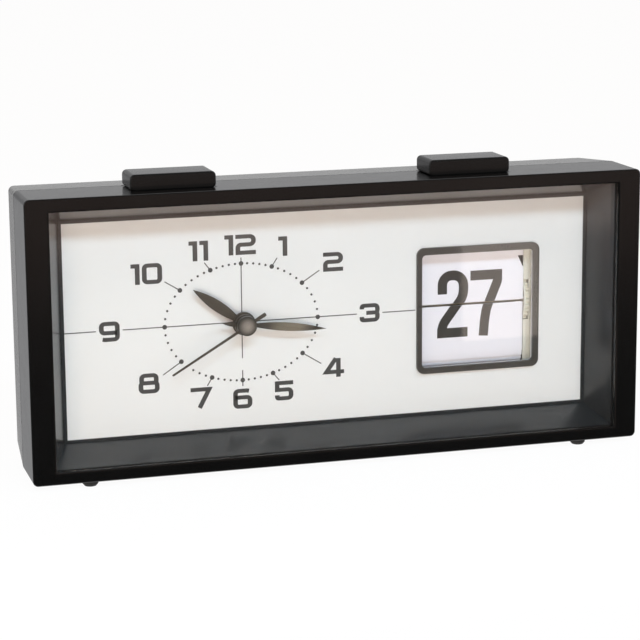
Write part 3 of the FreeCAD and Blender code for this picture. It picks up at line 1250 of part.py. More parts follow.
def calendar_frame():
    z = ("base_z + plate_low", "base_z + plate_high")
    y = ("movement_y + 0.2", "front_y + bridge_depth + plate_thickness")
    left = box("plate_left_block", ("plate_left - plate_thickness", "plate_left"), y, z)
    right = box("plate_right_block", ("plate_right", "plate_right + plate_thickness"), y, z)
    bridge = box("calendar_bridge", ("plate_left - plate_thickness", "plate_right + plate_thickness"),
                 ("front_y + bridge_depth", "front_y + bridge_depth + plate_thickness"), z)
    ears = []
    for ear, x in (("calendar_left", ("plate_left - plate_thickness - calendar_ear", "plate_left")),
                   ("calendar_right", ("plate_right", "plate_right + plate_thickness + calendar_ear"))):
        ears.append(box(ear + "_ear", x,
                        ("movement_y + boss_length", "movement_y + boss_length + ear_thickness"),
                        ("hub_z - boss_radius", "hub_z + boss_radius")))
    spot = ("axle_y", "split_z")
    holes = [rod("axle_holes", "x", "axle_radius + run / 5",
                 ("plate_left - plate_thickness - 1", "plate_right + plate_thickness + 1"), spot)]
    for ear in ("calendar_left", "calendar_right"):
        holes.append(rod(ear + "_hole", "y", "small_screw_radius + slip",
                         ("movement_y", "movement_y + 8"), (EARS[ear], "hub_z")))
    node("calendar_frame", cut("calendar_plates", fuse("plates_solid", left, right, bridge, *ears),
                               *holes))
    node("calendar_axle", rod("axle", "x", "axle_radius",
                              ("plate_left - plate_thickness - 0.6", "plate_right + plate_thickness + 0.6"),
                              spot))


def detent_spring():
    """A bent strip on the rear bridge whose round nose rests in a gap of the toothed wheel."""
    x = ("flange_right + flange_thickness + 0.1", "flange_right + flange_thickness + gear_thickness - 0.1")
    back = "front_y + bridge_depth"
    nose = "axle_y + gear_tip + 0.25"
    strip = box("detent_strip", x, (nose, f"{nose} + catch_thickness"), ("base_z + plate_low + 1",
                                                                       "split_z + 1.2"))
    foot = box("detent_foot", x, (nose, back), ("base_z + plate_low + 1", "base_z + plate_low + 3"))
    tip = rod("detent_nose", "x", "0.42", x, (f"{nose} - 0.1", "split_z"))
    node("detent_spring", fuse("detent", strip, foot, tip))


def leaf_catch():
    """A thin strip on the chassis that ends just above the standing leaf's corner."""
    x = ("leaf_right - catch_width - 1", "leaf_right - 1")
    base = "window_high_z + well_gap + well_wall"
    plate = box("catch_plate_block", x, ("movement_y", "movement_y + catch_thickness"),
                (f"{base} + 0.3", f"{base} + catch_plate"))
    arm = box("catch_arm", x, ("movement_y", "leaf_y + leaf_thickness / 2"),
              (f"{base} + 0.3", f"{base} + 0.3 + catch_thickness"))
    finger = box("catch_finger", x, ("leaf_y - leaf_thickness / 2", "leaf_y + leaf_thickness / 2"),
                 ("split_z + leaf_reach + catch_gap", f"{base} + 0.4"))
    node("leaf_catch", fuse("catch", plate, arm, finger))


def advance_pawl():
    """The arm below the calendar button, and the strip that pushes one ratchet tooth."""
    x = ("flange_left - flange_thickness - ratchet_thickness + 0.1",
         "flange_left - flange_thickness - 0.1")
    back = "axle_y - ratchet_tip - pawl_gap"
    front = f"{back} - pawl_thickness"
    low = "pawl_tip_z"
    arm = box("pawl_arm", (x[0], "advance_x + guide_radius"), (front, "guide_y + guide_radius"),
              (f"{low} - arm_height", low))
    strip = box("pawl_strip", x, (front, back), ("split_z + pivot_rise", f"{low} - arm_height / 2"))
    hook = box("pawl_hook_block", x, (front, "axle_y - ratchet_tip + pawl_bite"),
               ("split_z + pivot_rise + 0.1", "split_z + pivot_rise + 0.1 + pawl_hook"))
    node("advance_pawl", fuse("pawl", arm, strip, hook))


# ---------------------------------------------------------------- build, check and write
def build():
    front_frame()
    rear_shell()
    lens()
    dial_surround()
    feet()
    case_screws()
    dial_plate()
    window_frame()
    inner_chassis()
    chassis_screws()
    ear_screws("movement_screws", ("movement_left", "movement_right"))
    ear_screws("calendar_screws", ("calendar_left", "calendar_right"))
    train()
    motion_work()
    stems()
    movement_cases()
    electronics()
    hands()
    knobs()
    alarm_switch()
    buzzer()
    battery_bay()
    button("snooze")
    button("advance")
    button_spring("snooze")
    button_spring("advance")
    snooze_contact()
    leaves()
    drum()
    calendar_frame()
    detent_spring()
    leaf_catch()
    advance_pawl()


def check():
    doc.recompute()
    faults = [obj.Name for obj in doc.Objects if {"Invalid", "Error"} & set(obj.State)]
    for piece in nodes:
        shape = piece.Shape
        if shape.isNull() or not shape.isValid() or shape.Volume <= 0 or not shape.Solids:
            faults.append(piece.Label)
    if faults:
        raise RuntimeError("faulty: " + ", ".join(faults))


def write():
    os.makedirs("parts", exist_ok=True)
    for piece in nodes:
        piece.Shape.exportStep(f"parts/{piece.Label}.step")
        print(f"{piece.Label:22s} {len(piece.Shape.Solids)} solid  {piece.Shape.Volume:10.2f} mm3")


build()
check()
write()
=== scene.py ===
# %% [markdown]
# # A desk clock with a flip calendar
#
# The construction comes as a fixed frame: every piece of the clock at its real size, in metres,
# standing on the plane z = 0 with its dial facing -Y. This notebook dresses that frame. Each piece
# gets a finish, and pieces whose look needs more than the frame's plain solids are modelled again
# in their place: the printing on the dial, the hands, the digits on the leaves and the softened
# edges of the mouldings. Every new piece reads where it sits from the piece that carries it.

# %% Load the frame
import math

import bmesh
import bpy
from mathutils import Matrix, Vector


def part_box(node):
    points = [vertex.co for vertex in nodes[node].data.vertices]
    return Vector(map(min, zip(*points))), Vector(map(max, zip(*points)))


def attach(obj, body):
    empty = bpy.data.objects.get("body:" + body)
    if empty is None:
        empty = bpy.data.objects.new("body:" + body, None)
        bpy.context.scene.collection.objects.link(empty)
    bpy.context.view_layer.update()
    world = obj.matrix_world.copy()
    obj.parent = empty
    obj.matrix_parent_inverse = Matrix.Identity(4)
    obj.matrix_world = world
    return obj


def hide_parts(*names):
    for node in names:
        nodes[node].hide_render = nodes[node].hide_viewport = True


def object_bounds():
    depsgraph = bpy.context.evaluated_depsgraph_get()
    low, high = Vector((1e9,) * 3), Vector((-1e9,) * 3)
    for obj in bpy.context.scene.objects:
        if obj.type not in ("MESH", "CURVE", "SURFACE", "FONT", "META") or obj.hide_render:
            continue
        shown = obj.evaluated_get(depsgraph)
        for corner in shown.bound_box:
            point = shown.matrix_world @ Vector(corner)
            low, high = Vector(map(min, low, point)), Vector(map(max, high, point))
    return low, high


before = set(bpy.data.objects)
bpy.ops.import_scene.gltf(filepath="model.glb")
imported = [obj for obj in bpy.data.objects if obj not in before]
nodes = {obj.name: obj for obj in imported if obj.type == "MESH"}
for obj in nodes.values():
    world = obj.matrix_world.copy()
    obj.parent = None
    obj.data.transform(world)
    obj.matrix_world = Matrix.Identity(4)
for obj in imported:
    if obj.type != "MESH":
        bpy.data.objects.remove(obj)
cad_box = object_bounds()
scene = bpy.context.scene
MM = 0.001
print(len(nodes), "pieces in a box from", cad_box[0], "to", cad_box[1])

# %% [markdown]
# ## One notation for every node tree
#
# Materials and Geometry Nodes are both trees of nodes. Adding them one call at a time makes long
# scripts, so two small classes do it here. `Net.add` makes a node from its type, its settings and
# its socket values. `Signal` wraps an output, and Python's own operators on it add Math nodes, so
# a formula in the script reads like a formula.


# %% A wrapper for sockets and one for trees
class Signal:
    """An output of a node. Arithmetic on it adds Math nodes."""

    def __init__(self, net, node, output=0):
        self.net, self.node, self.socket = net, node, node.outputs[output]

    def out(self, name):
        return Signal(self.net, self.node, name)

    def math(self, operation, *values):
        return self.net.add("ShaderNodeMath", {"operation": operation}, dict(enumerate(values)))

    def __add__(self, other):
        return self.math("ADD", self, other)

    def __sub__(self, other):
        return self.math("SUBTRACT", self, other)

    def __rsub__(self, other):
        return self.math("SUBTRACT", other, self)

    def __mul__(self, other):
        return self.math("MULTIPLY", self, other)

    __radd__, __rmul__ = __add__, __mul__


class Net:
    """A node tree that is being filled."""

    def __init__(self, tree):
        self.tree = tree

    def add(self, kind, settings=None, sockets=None):
        node = self.tree.nodes.new(kind)
        for name, value in (settings or {}).items():
            if name == "stops":
                self.set_stops(node.color_ramp, value)
            else:
                setattr(node, name, value)
        for name, value in (sockets or {}).items():
            if isinstance(value, Signal):
                self.tree.links.new(value.socket, node.inputs[name])
            else:
                node.inputs[name].default_value = value
        return Signal(self, node) if node.outputs else node

    def set_stops(self, ramp, stops):
        while len(ramp.elements) < len(stops):
            ramp.elements.new(1.0)
        for element, (place, colour) in zip(ramp.elements, stops):
            element.position = place
            element.color = (*colour, 1)


def new_material(name):
    made = bpy.data.materials.new(name)
    made.use_nodes = True
    made.node_tree.nodes.clear()
    return made, Net(made.node_tree)


def close_material(made, net, shader):
    net.add("ShaderNodeOutputMaterial", {}, {"Surface": shader})
    return made


# %% [markdown]
# ## Finishes
#
# Almost everything on this clock is moulded plastic or painted metal. No real moulding is one even
# colour: the pigment flows a little, handling leaves faint duller patches, and the mould's own
# texture breaks the highlights up. One recipe covers them all: a slow noise that shifts the colour,
# a second that shifts the roughness, and a fine one that only bends the normal.


# %% The recipe for mouldings, paint and sheet metal
FINISHES = {}
PLASTIC_IOR = 1.46
HANDLED_FINER = 2.7
ROUGH_SPREAD = 0.05


def wander(value, noise, spread):
    """A value that a noise moves up and down by half the spread."""
    return value + (noise - 0.5) * spread


def finish(name, colour, other, rough, patch=60, grain=900, depth=0.0, metal=0.0, ior=PLASTIC_IOR):
    """Two close colours mixed in patches, roughness that wanders a little, and a fine grain."""
    made, net = new_material(name)
    place = net.add("ShaderNodeTexCoord").out("Object")
    flow = net.add("ShaderNodeTexNoise", {}, {"Vector": place, "Scale": patch, "Detail": 3.0})
    handled = net.add("ShaderNodeTexNoise", {},
                      {"Vector": place, "Scale": patch * HANDLED_FINER, "Detail": 4.0})
    fine = net.add("ShaderNodeTexNoise", {}, {"Vector": place, "Scale": grain, "Detail": 2.0})
    shade = net.add("ShaderNodeMix", {"data_type": "RGBA"},
                    {0: flow, 6: (*colour, 1), 7: (*other, 1)}).out(2)
    bump = net.add("ShaderNodeBump", {}, {"Strength": 1.0, "Distance": depth * MM, "Height": fine})
    body = net.add("ShaderNodeBsdfPrincipled", {}, {
        "Base Color": shade, "Roughness": wander(rough, handled, ROUGH_SPREAD),
        "Metallic": metal, "IOR": ior, "Normal": bump})
    FINISHES[name] = close_material(made, net, body)


def grey(level, warm=0.0):
    """A grey as a linear colour. Warmth adds red and takes blue away, and below zero it cools."""
    return (level * (1 + warm), level, level * (1 - warm))


finish("case_black", grey(0.0015), grey(0.003), 0.21, depth=0.004)
# The surround's black is a lighter copy of the case's: painted light that stands in for the light
# the well's walls catch from the dial and the floor.
finish("surround_black", grey(0.032, -0.05), grey(0.04, -0.05), 0.22, depth=0.003, ior=1.6)
finish("case_grey", grey(0.008), grey(0.012), 0.27, grain=1700, depth=0.008)
finish("button_black", grey(0.004), grey(0.006), 0.14, depth=0.003, ior=1.35)
finish("rubber", grey(0.008), grey(0.013), 0.7, grain=3000, depth=0.03)
finish("steel", grey(0.55), grey(0.5), 0.28, metal=1.0, grain=1500, depth=0.004)
finish("brass", (0.62, 0.45, 0.2), (0.56, 0.4, 0.17), 0.3, metal=1.0, depth=0.003)
finish("copper", (0.5, 0.19, 0.08), (0.4, 0.14, 0.05), 0.35, metal=0.6, grain=2200, depth=0.05)
finish("trim_dark", grey(0.075, 0.1), grey(0.06, 0.1), 0.35, depth=0.004)
finish("inner_white", (0.84, 0.84, 0.76), (0.79, 0.79, 0.72), 0.5, grain=1600, depth=0.01)
finish("ivory", (0.86, 0.85, 0.74), (0.78, 0.77, 0.66), 0.45, depth=0.01)
finish("gear_plastic", (0.72, 0.7, 0.62), (0.66, 0.64, 0.56), 0.42, depth=0.01)
finish("hand_black", grey(0.074, 0.2), grey(0.062, 0.2), 0.34, depth=0.003)
finish("hand_red", (0.42, 0.02, 0.012), (0.36, 0.018, 0.01), 0.35, depth=0.003)
finish("card", (0.87, 0.85, 0.91), (0.84, 0.82, 0.88), 0.55, patch=40, grain=2400, depth=0.004)
finish("board", (0.02, 0.1, 0.04), (0.015, 0.08, 0.03), 0.4, grain=1200, depth=0.02)
finish("battery", (0.03, 0.045, 0.08), (0.025, 0.04, 0.07), 0.3, metal=0.3)
finish("ink", grey(0.062, 0.1), grey(0.05, 0.1), 0.5, grain=2400, depth=0.004)
finish("dial_ink", grey(0.08, 0.03), grey(0.068, 0.03), 0.5, grain=2400, depth=0.004)
finish("line_ink", grey(0.14, 0.03), grey(0.12, 0.03), 0.5, grain=2400, depth=0.004)
print("mouldings, paints and metals:", ", ".join(FINISHES))

# %% [markdown]
# The lens is a flat sheet of clear acrylic. Full refraction would only add noise here, because a
# thin parallel sheet doesn't bend what is seen through it. So it is light passing straight
# through, mixed with a mirror reflection whose share grows towards a grazing look, as Fresnel's
# law says.


# %% Clear acrylic for the lens
def clear_sheet(name, tint, rough, ior):
    made, net = new_material(name)
    through = net.add("ShaderNodeBsdfTransparent", {}, {"Color": (*tint, 1)})
    mirror = net.add("ShaderNodeBsdfGlossy", {}, {"Color": (1, 1, 1, 1), "Roughness": rough})
    share = net.add("ShaderNodeFresnel", {}, {"IOR": ior})
    body = net.add("ShaderNodeMixShader", {}, {0: share, 1: through, 2: mirror})
    FINISHES[name] = close_material(made, net, body)


ACRYLIC_IOR = 1.49
clear_sheet("clear_lens", (0.99, 0.99, 0.985), 0.03, ACRYLIC_IOR)
print("clear acrylic with an index of refraction of", ACRYLIC_IOR)

# %% [markdown]
# The dial's colour holds painted shade: it grows darker towards the top of the plate and lighter at
# its foot, standing in for how the light falls on the dial in its well. A texture could hold that,
# but a ramp along the height with a slow noise on it stays smooth at any distance.


# %% The dial's paint, with painted shade towards the top
CLOUD_SHARE, CLOUD_SPREAD = 0.1, 0.04


def painted_shade_by_height(name, foot, head, low, high, rough):
    """One colour at the foot and another at the head of a plate, with a soft passage between."""
    made, net = new_material(name)
    place = net.add("ShaderNodeTexCoord").out("Object")
    height = net.add("ShaderNodeSeparateXYZ", {}, {0: place}).out("Z")
    share = net.add("ShaderNodeMapRange", {}, {"Value": height, "From Min": low, "From Max": high})
    cloud = net.add("ShaderNodeTexNoise", {}, {"Vector": place, "Scale": 30.0, "Detail": 3.0})
    colour = net.add("ShaderNodeMix", {"data_type": "RGBA"},
                     {0: share * (1 - CLOUD_SHARE) + cloud * CLOUD_SHARE,
                      6: (*foot, 1), 7: (*head, 1)}).out(2)
    body = net.add("ShaderNodeBsdfPrincipled", {}, {
        "Base Color": colour, "Roughness": wander(rough, cloud, CLOUD_SPREAD), "IOR": PLASTIC_IOR})
    FINISHES[name] = close_material(made, net, body)


dial_low, dial_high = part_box("dial_plate")
# Painted shade: darker towards the head of the dial, lighter at its foot, for how the light falls
# in the well.
painted_shade_by_height("dial_white", grey(0.89, 0.002), grey(0.765, 0.004), dial_low.z, dial_high.z, 0.5)
print("dial paint from", dial_low.z, "to", dial_high.z, "m above the floor")

# %% [markdown]
# The frame's pieces come with one plain material each, named after what the piece is made of. That
# name is the key to the finishes above, so the inner works are dressed by one loop.

# %% Give every piece of the frame its finish
for name, piece in nodes.items():
    slot = piece.data.materials[0].name.split(".")[0]
    piece.data.materials[0] = FINISHES[slot]
print("every frame piece has one of", len(FINISHES), "finishes")

# %% [markdown]
# ## Making pieces
#
# Each new piece is a mesh of closed shells, made at its real place so that its object can stay at
# the origin. `add_piece` is the one door through which all of them go: it sets the material, lets
# the piece ride on its body, and hides the pieces of the frame it stands for.


# %% The helper that adds a finished piece
def mesh_of(name, bm, smooth=0):
    """Turns a bmesh into a mesh, faces outwards. Edges up to the angle smooth look round."""
    bmesh.ops.recalc_face_normals(bm, faces=bm.faces[:])
    mesh = bpy.data.meshes.new(name)
    bm.to_mesh(mesh)
    bm.free()
    if smooth:
        mesh.shade_smooth()
        mesh.set_sharp_from_angle(angle=math.radians(smooth))
    return mesh


def add_piece(name, shape, body, slot, replaces=(), material=None, smooth=0):
    """Adds a mesh or a bmesh as a piece of the clock that moves with a body of the frame."""
    mesh = mesh_of(name, shape, smooth) if isinstance(shape, bmesh.types.BMesh) else shape
    mesh.materials.clear()
    mesh.materials.append(FINISHES[material or slot])
    piece = bpy.data.objects.new(name, mesh)
    scene.collection.objects.link(piece)
    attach(piece, body)
    if replaces:
        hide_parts(*replaces)
    print(f"{name}: {len(mesh.polygons)} faces on {body}")


def evaluated(name, mesh, add_modifiers):
    """Hangs modifiers on a mesh, runs them, and returns the result as a plain mesh."""
    carrier = bpy.data.objects.new(name, mesh)
    scene.collection.objects.link(carrier)
    add_modifiers(carrier)
    done = bpy.data.meshes.new_from_object(
        carrier.evaluated_get(bpy.context.evaluated_depsgraph_get()), depsgraph=None)
    bpy.data.objects.remove(carrier)
    return done


# %% [markdown]
# ## Softened mouldings
#
# Nothing that leaves a mould has a knife edge. A radius of a few tenths of a millimetre is what
# draws the thin line along the rim of a black case. The frame's piece is copied, its loose
# triangles are merged back into whole faces, and the edges that an eye can reach get a weight for
# the Bevel modifier. Weighted normals keep the large faces flat in the light.


# %% Copies of frame pieces with softened edges
SHARP_FROM, ROUND_UP_TO = math.radians(40), 35
WELD = 0.002 * MM


def whole_copy(name):
    """A frame piece as a bmesh whose flat faces are in one piece again."""
    loose = nodes[name].data
    bm = bmesh.new()
    for v in loose.vertices:
        bm.verts.new(nodes[name].matrix_world @ v.co)
    bm.verts.ensure_lookup_table()
    for face in loose.polygons:
        bm.faces.new([bm.verts[i] for i in face.vertices])
    bmesh.ops.remove_doubles(bm, verts=bm.verts[:], dist=WELD)
    bmesh.ops.dissolve_limit(bm, angle_limit=math.radians(1), verts=bm.verts[:], edges=bm.edges[:])
    return bm


def soften(name, bm, width, chosen, steps=3):
    """Rounds the sharp edges whose middle the test accepts."""
    weight = bm.edges.layers.float.new("bevel_weight_edge")
    count = 0
    for edge in bm.edges:
        middle = (edge.verts[0].co + edge.verts[1].co) / 2
        sharp = len(edge.link_faces) == 2 and edge.calc_face_angle(0) > SHARP_FROM
        if sharp and chosen(middle):
            edge[weight] = 1.0
            count += 1
    mesh = mesh_of(name, bm, smooth=ROUND_UP_TO)

    def add_modifiers(carrier):
        if count:
            bevel = carrier.modifiers.new("edges", "BEVEL")
            bevel.limit_method, bevel.width, bevel.segments = "WEIGHT", width, steps
        carrier.modifiers.new("even", "WEIGHTED_NORMAL").keep_sharp = True
    print(f"{name}: {count} edges softened by {width / MM:.2f} mm")
    return evaluated(name, mesh, add_modifiers)


# %% The case's front and the dark surround
FRONT_ROUND, WELL_ROUND = 0.45 * MM, 0.3 * MM
front_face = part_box("front_frame")[0].y
case_front = soften("case_front", whole_copy("front_frame"), FRONT_ROUND,
                    lambda p: p.y < front_face + 0.05 * MM)
add_piece("case_front", case_front, "case", "case_black", ["front_frame"])
surround_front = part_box("dial_surround")[0].y
dial_well = soften("dial_well", whole_copy("dial_surround"), WELL_ROUND,
                   lambda p: p.y > surround_front + 0.1 * MM)
add_piece("dial_well", dial_well, "case", "case_black", ["dial_surround"],
          material="surround_black")

# %% [markdown]
# The rim round the date window is a flat ring that lies on the dial. Bevels on a plain frame would
# do, but they leave uneven faces at the corners. Two rounded rectangles with the same number of
# points don't: joined in front, behind, outside and inside they close to a ring of quads, whose
# front edges are softened as before.


# %% The rim of the date window
def rounded_rectangle(left, low, right, high, radius, steps=7):
    """The points of a rectangle with round corners, as (x, z)."""
    points = []
    for x, z, start in ((right - radius, high - radius, 0), (left + radius, high - radius, 90),
                        (left + radius, low + radius, 180), (right - radius, low + radius, 270)):
        for k in range(steps + 1):
            a = math.radians(start + 90 * k / steps)
            points.append((x + radius * math.cos(a), z + radius * math.sin(a)))
    return points


RIM_BAR, RIM_TRIM, RIM_RISE = 2.1 * MM, 0.4 * MM, 0.25 * MM
RIM_OUTSIDE, RIM_INSIDE, RIM_ROUND = 2.6 * MM, 1.5 * MM, 0.3 * MM
rim_low, rim_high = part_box("window_frame")
rim_front, rim_back = rim_low.y, dial_low.y - 0.01 * MM
outside = rounded_rectangle(rim_low.x + RIM_TRIM, rim_low.z, rim_high.x, rim_high.z + RIM_RISE,
                            RIM_OUTSIDE)
inside = rounded_rectangle(rim_low.x + RIM_BAR, rim_low.z + RIM_BAR, rim_high.x - RIM_BAR,
                           rim_high.z - RIM_BAR, RIM_INSIDE)
bm = bmesh.new()
loops = [[bm.verts.new((x, y, z)) for x, z in points]
         for points, y in ((outside, rim_front), (inside, rim_front), (inside, rim_back),
                           (outside, rim_back))]
for i in range(4):
    for k in range(len(outside)):
        bm.faces.new((loops[i][k], loops[i][k - 1], loops[i - 1][k - 1], loops[i - 1][k]))
date_rim = soften("date_rim", bm, RIM_ROUND, lambda p: p.y < rim_front + 0.05 * MM)
add_piece("date_rim", date_rim, "case", "trim_dark", ["window_frame"])

# %% [markdown]
# The push buttons are small pillows: a bar with all its corners rounded, which sits on a block that
# fills the hole in the case. The pillow is a box whose long edges are rounded first and the rims of
# its two ends after that. The part below the case's top is the frame's own.


# %% The push buttons
def keep_side(bm, point, outwards):
    """Cuts a bmesh at a plane, drops what lies beyond it and closes the cut."""
    bmesh.ops.bisect_plane(bm, geom=bm.verts[:] + bm.edges[:] + bm.faces[:], plane_co=point,
                           plane_no=outwards, clear_outer=True)
    bmesh.ops.holes_fill(bm, edges=[e for e in bm.edges if e.is_boundary], sides=0)


def add_pillow(bm, low, high, corner, rim):
    """Adds a rounded bar that runs along Y."""
    block = bmesh.new()
    for v in bmesh.ops.create_cube(block, size=1)["verts"]:
        v.co = Vector([high[i] if v.co[i] > 0 else low[i] for i in range(3)])
    along = [e for e in block.edges if e.verts[0].co.y != e.verts[1].co.y]
    bmesh.ops.bevel(block, geom=along, offset=corner, segments=6, profile=0.5, affect="EDGES")
    ends = [e for e in block.edges if e.verts[0].co.y == e.verts[1].co.y
            and len({round(f.normal.y) for f in e.link_faces}) == 2]
    bmesh.ops.bevel(block, geom=ends, offset=rim, segments=4, profile=0.5, affect="EDGES")
    pillow = bpy.data.meshes.new("pillow")
    block.to_mesh(pillow)
    block.free()
    bm.from_mesh(pillow)
    bpy.data.meshes.remove(pillow)


TAB, CAP_DEPTH, CAP_GAP = 1.6 * MM, 14 * MM, 0.15 * MM
CAP_CORNER, CAP_RIM = 1.5 * MM, 0.7 * MM
case_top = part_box("front_frame")[1].z
for node, name, body in (("snooze_button", "snooze_cap", "snooze_button_body"),
                         ("advance_button", "advance_cap", "advance_button_body")):
    low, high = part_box(node)
    bm = whole_copy(node)
    keep_side(bm, (0, 0, case_top - CAP_GAP), (0, 0, 1))
    add_pillow(bm, (low.x + TAB, low.y, case_top - 2 * CAP_GAP),
               (high.x - TAB, low.y + CAP_DEPTH, high.z), CAP_CORNER, CAP_RIM)
    # The pillow is round already, so no edge is chosen and only the normals are evened.
    add_piece(name, soften(name, bm, 0, lambda p: False), body, "button_black", [node])

# %% [markdown]
# Nothing in this model bends, so a spring that fills its seat at rest would run through the button
# when it is pressed. It could be wound again with fewer turns, but squeezing the frame's own spring
# keeps its turns and its ends. It is drawn at the length it has when pressed, and leaves room for
# the stroke.

# %% The springs under the buttons
STROKE = 1.8 * MM
for node in ("snooze_spring", "advance_spring"):
    low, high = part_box(node)
    squeeze = 1 - STROKE / (high.z - low.z)
    bm = whole_copy(node)
    for v in bm.verts:
        v.co.z = low.z + (v.co.z - low.z) * squeeze
    add_piece(node + "_pressed", bm, "case", "steel", [node], smooth=40)

# %% [markdown]
# ## Strokes for numerals
#
# The clock's numerals are extended and square with rounded corners, the kind that is drawn with
# one stroke of even weight. So each numeral is written here as the centre line of its pen stroke,
# and a ribbon is laid along it: the corners of the line are rounded first, then the ribbon's two
# edges are set off to either side. A stem is a little heavier than a bar, as in real lettering.


# %% Rounding a line and laying a ribbon along it
ARC_STEP = math.radians(9)
SIDE_SHARE = 0.499
PARALLEL = 1e-3


def rounded(points, closed):
    """Replaces each corner (x, z, radius) of a line by an arc. Returns plain (x, z) vectors."""
    line, count = [], len(points)
    for i, (x, z, radius) in enumerate(points):
        corner = Vector((x, z))
        if radius <= 0 or (not closed and i in (0, count - 1)):
            line.append(corner)
            continue
        before = (Vector(points[i - 1][:2]) - corner)
        after = (Vector(points[(i + 1) % count][:2]) - corner)
        half = before.angle(after) / 2
        reach = min(radius / math.tan(half), before.length * SIDE_SHARE, after.length * SIDE_SHARE)
        radius = reach * math.tan(half)
        inwards = (before.normalized() + after.normalized()).normalized()
        middle = corner + inwards * radius / math.sin(half)
        start = corner + before.normalized() * reach - middle
        turn = start.angle_signed(corner + after.normalized() * reach - middle)
        steps = max(2, round(abs(turn) / ARC_STEP))
        for k in range(steps + 1):
            line.append(middle + Matrix.Rotation(-turn * k / steps, 2) @ start)
    return line


def ribbon(line, closed, stem, bar):
    """The left and right edges of a stroke, as wide as stem going up and as bar going across."""
    count = len(line)
    sides = []
    for i in range(count if closed else count - 1):
        along = (line[(i + 1) % count] - line[i]).normalized()
        normal = Vector((-along.y, along.x))
        sides.append((along, normal * math.hypot(normal.x * stem, normal.y * bar) / 2))
    edges = []
    for i in range(count):
        before = sides[i - 1] if closed or i > 0 else sides[0]
        after = sides[i % len(sides)] if closed or i < count - 1 else sides[-1]
        twist = before[0].cross(after[0])
        pair = []
        for sign in (1, -1):
            start = line[i] + before[1] * sign
            if abs(twist) > PARALLEL:
                gap = line[i] + after[1] * sign - start
                start = start + before[0] * (gap.cross(after[0]) / twist)
            else:
                start = (start + line[i] + after[1] * sign) / 2
            pair.append(start)
        edges.append(pair)
    return edges


def add_stroke(bm, points, closed, stem, bar, front, back):
    """Adds one stroke to a bmesh as a thin closed solid between two depths."""
    edges = ribbon(rounded(points, closed), closed, stem, bar)
    rings = [[bm.verts.new((p.x, y, p.y)) for p, y in
              ((left, front), (right, front), (right, back), (left, back))]
             for left, right in edges]
    spans = list(zip(rings, rings[1:] + rings[:1] if closed else rings[1:]))
    for ring, following in spans:
        for k in range(4):
            bm.faces.new((ring[k], ring[k - 3], following[k - 3], following[k]))
    if not closed:
        bm.faces.new(rings[0])
        bm.faces.new(rings[-1])


print("a quarter turn of a stroke gets", round(math.pi / 2 / ARC_STEP), "steps")

# %% [markdown]
# The table gives each numeral's centre lines in a unit square. Letters stand for the outside of
# the numeral instead of the middle of its stroke: l, r, t and b for left, right, top and bottom,
# where a square stroke end reaches the edge. The third number is how round a corner is, as a share
# of the usual corner radius.

# %% Numerals as centre lines
GLYPHS = {
    "0": [(True, [(0, 0, 1), (1, 0, 1), (1, 1, 1), (0, 1, 1)])],
    "1": [(False, [("l", 1, 0), (1, 1, 0), (1, "b", 0)])],
    "2": [(False, [("l", 1, 0), (1, 1, 1.2), (1, 0.5, 1.2), (0, 0.5, 1), (0, 0, 0), ("r", 0, 0)])],
    "3": [(False, [(0, 0.76, 0), (0, 1, 1), (1, 1, 1), (1, 0.5, 0.8), (0.28, 0.5, 0)]),
          (False, [(0.28, 0.5, 0), (1, 0.5, 0.8), (1, 0, 1), (0, 0, 1), (0, 0.24, 0)])],
    "4": [(False, [(0.62, "t", 0), (0, 0.22, 0), ("r", 0.22, 0)]),
          (False, [(0.78, "t", 0), (0.78, "b", 0)])],
    "5": [(False, [("r", 1, 0), (0, 1, 0), (0, 0.56, 0), (1, 0.56, 1), (1, 0, 1), (0, 0, 1),
                   (0, 0.22, 0)])],
    "6": [(False, [(0.94, 0.97, 0), (0.8, 1, 0.5), (0, 1, 1), (0, 0, 1), (1, 0, 1), (1, 0.58, 1),
                   (0, 0.58, 0)])],
    "7": [(False, [("l", 1, 0), (1, 1, 0), (0.4, "b", 0)])],
    "8": [(True, [(0.05, 0.53, 0.8), (0.95, 0.53, 0.8), (0.95, 1, 1), (0.05, 1, 1)]),
          (True, [(0, 0, 1), (1, 0, 1), (1, 0.53, 0.8), (0, 0.53, 0.8)])],
    "9": [(False, [(0.06, 0.03, 0), (0.2, 0, 0.5), (1, 0, 1), (1, 1, 1), (0, 1, 1), (0, 0.42, 1),
                   (1, 0.42, 0)])],
}
LAYER = 0.002 * MM


def write_glyph(bm, strokes, left, low, width, height, stem, bar, corner, front, back):
    """Writes one numeral into a box whose lower left corner is given. Strokes lie in layers."""
    across, upright = width - stem, height - bar
    edge_x = {"l": -stem / 2 / across, "r": 1 + stem / 2 / across}
    edge_z = {"b": -bar / 2 / upright, "t": 1 + bar / 2 / upright}
    for number, (closed, points) in enumerate(strokes):
        line = [(left + stem / 2 + edge_x.get(u, u) * across,
                 low + bar / 2 + edge_z.get(v, v) * upright, share * corner)
                for u, v, share in points]
        add_stroke(bm, line, closed, stem, bar, front - number * LAYER, back)


print(len(GLYPHS), "numerals written as centre lines")


# %% [markdown]
# ## The dial's printing
#
# A real dial is printed with thick ink through a screen, so the printing stands a few hundredths
# of a millimetre proud. Here it is a thin solid whose back is sunk into the dial, which needs no
# texture and stays sharp however close the camera comes.

# %% Where the dial is and where its numerals stand
DIAL_FACE = dial_low.y
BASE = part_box("front_frame")[0].z
hub_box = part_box("second_arbor")
HUB = Vector(((hub_box[0].x + hub_box[1].x) / 2, (hub_box[0].z + hub_box[1].z) / 2))
INK_FRONT, INK_BACK = DIAL_FACE - 0.03 * MM, DIAL_FACE + 0.05 * MM

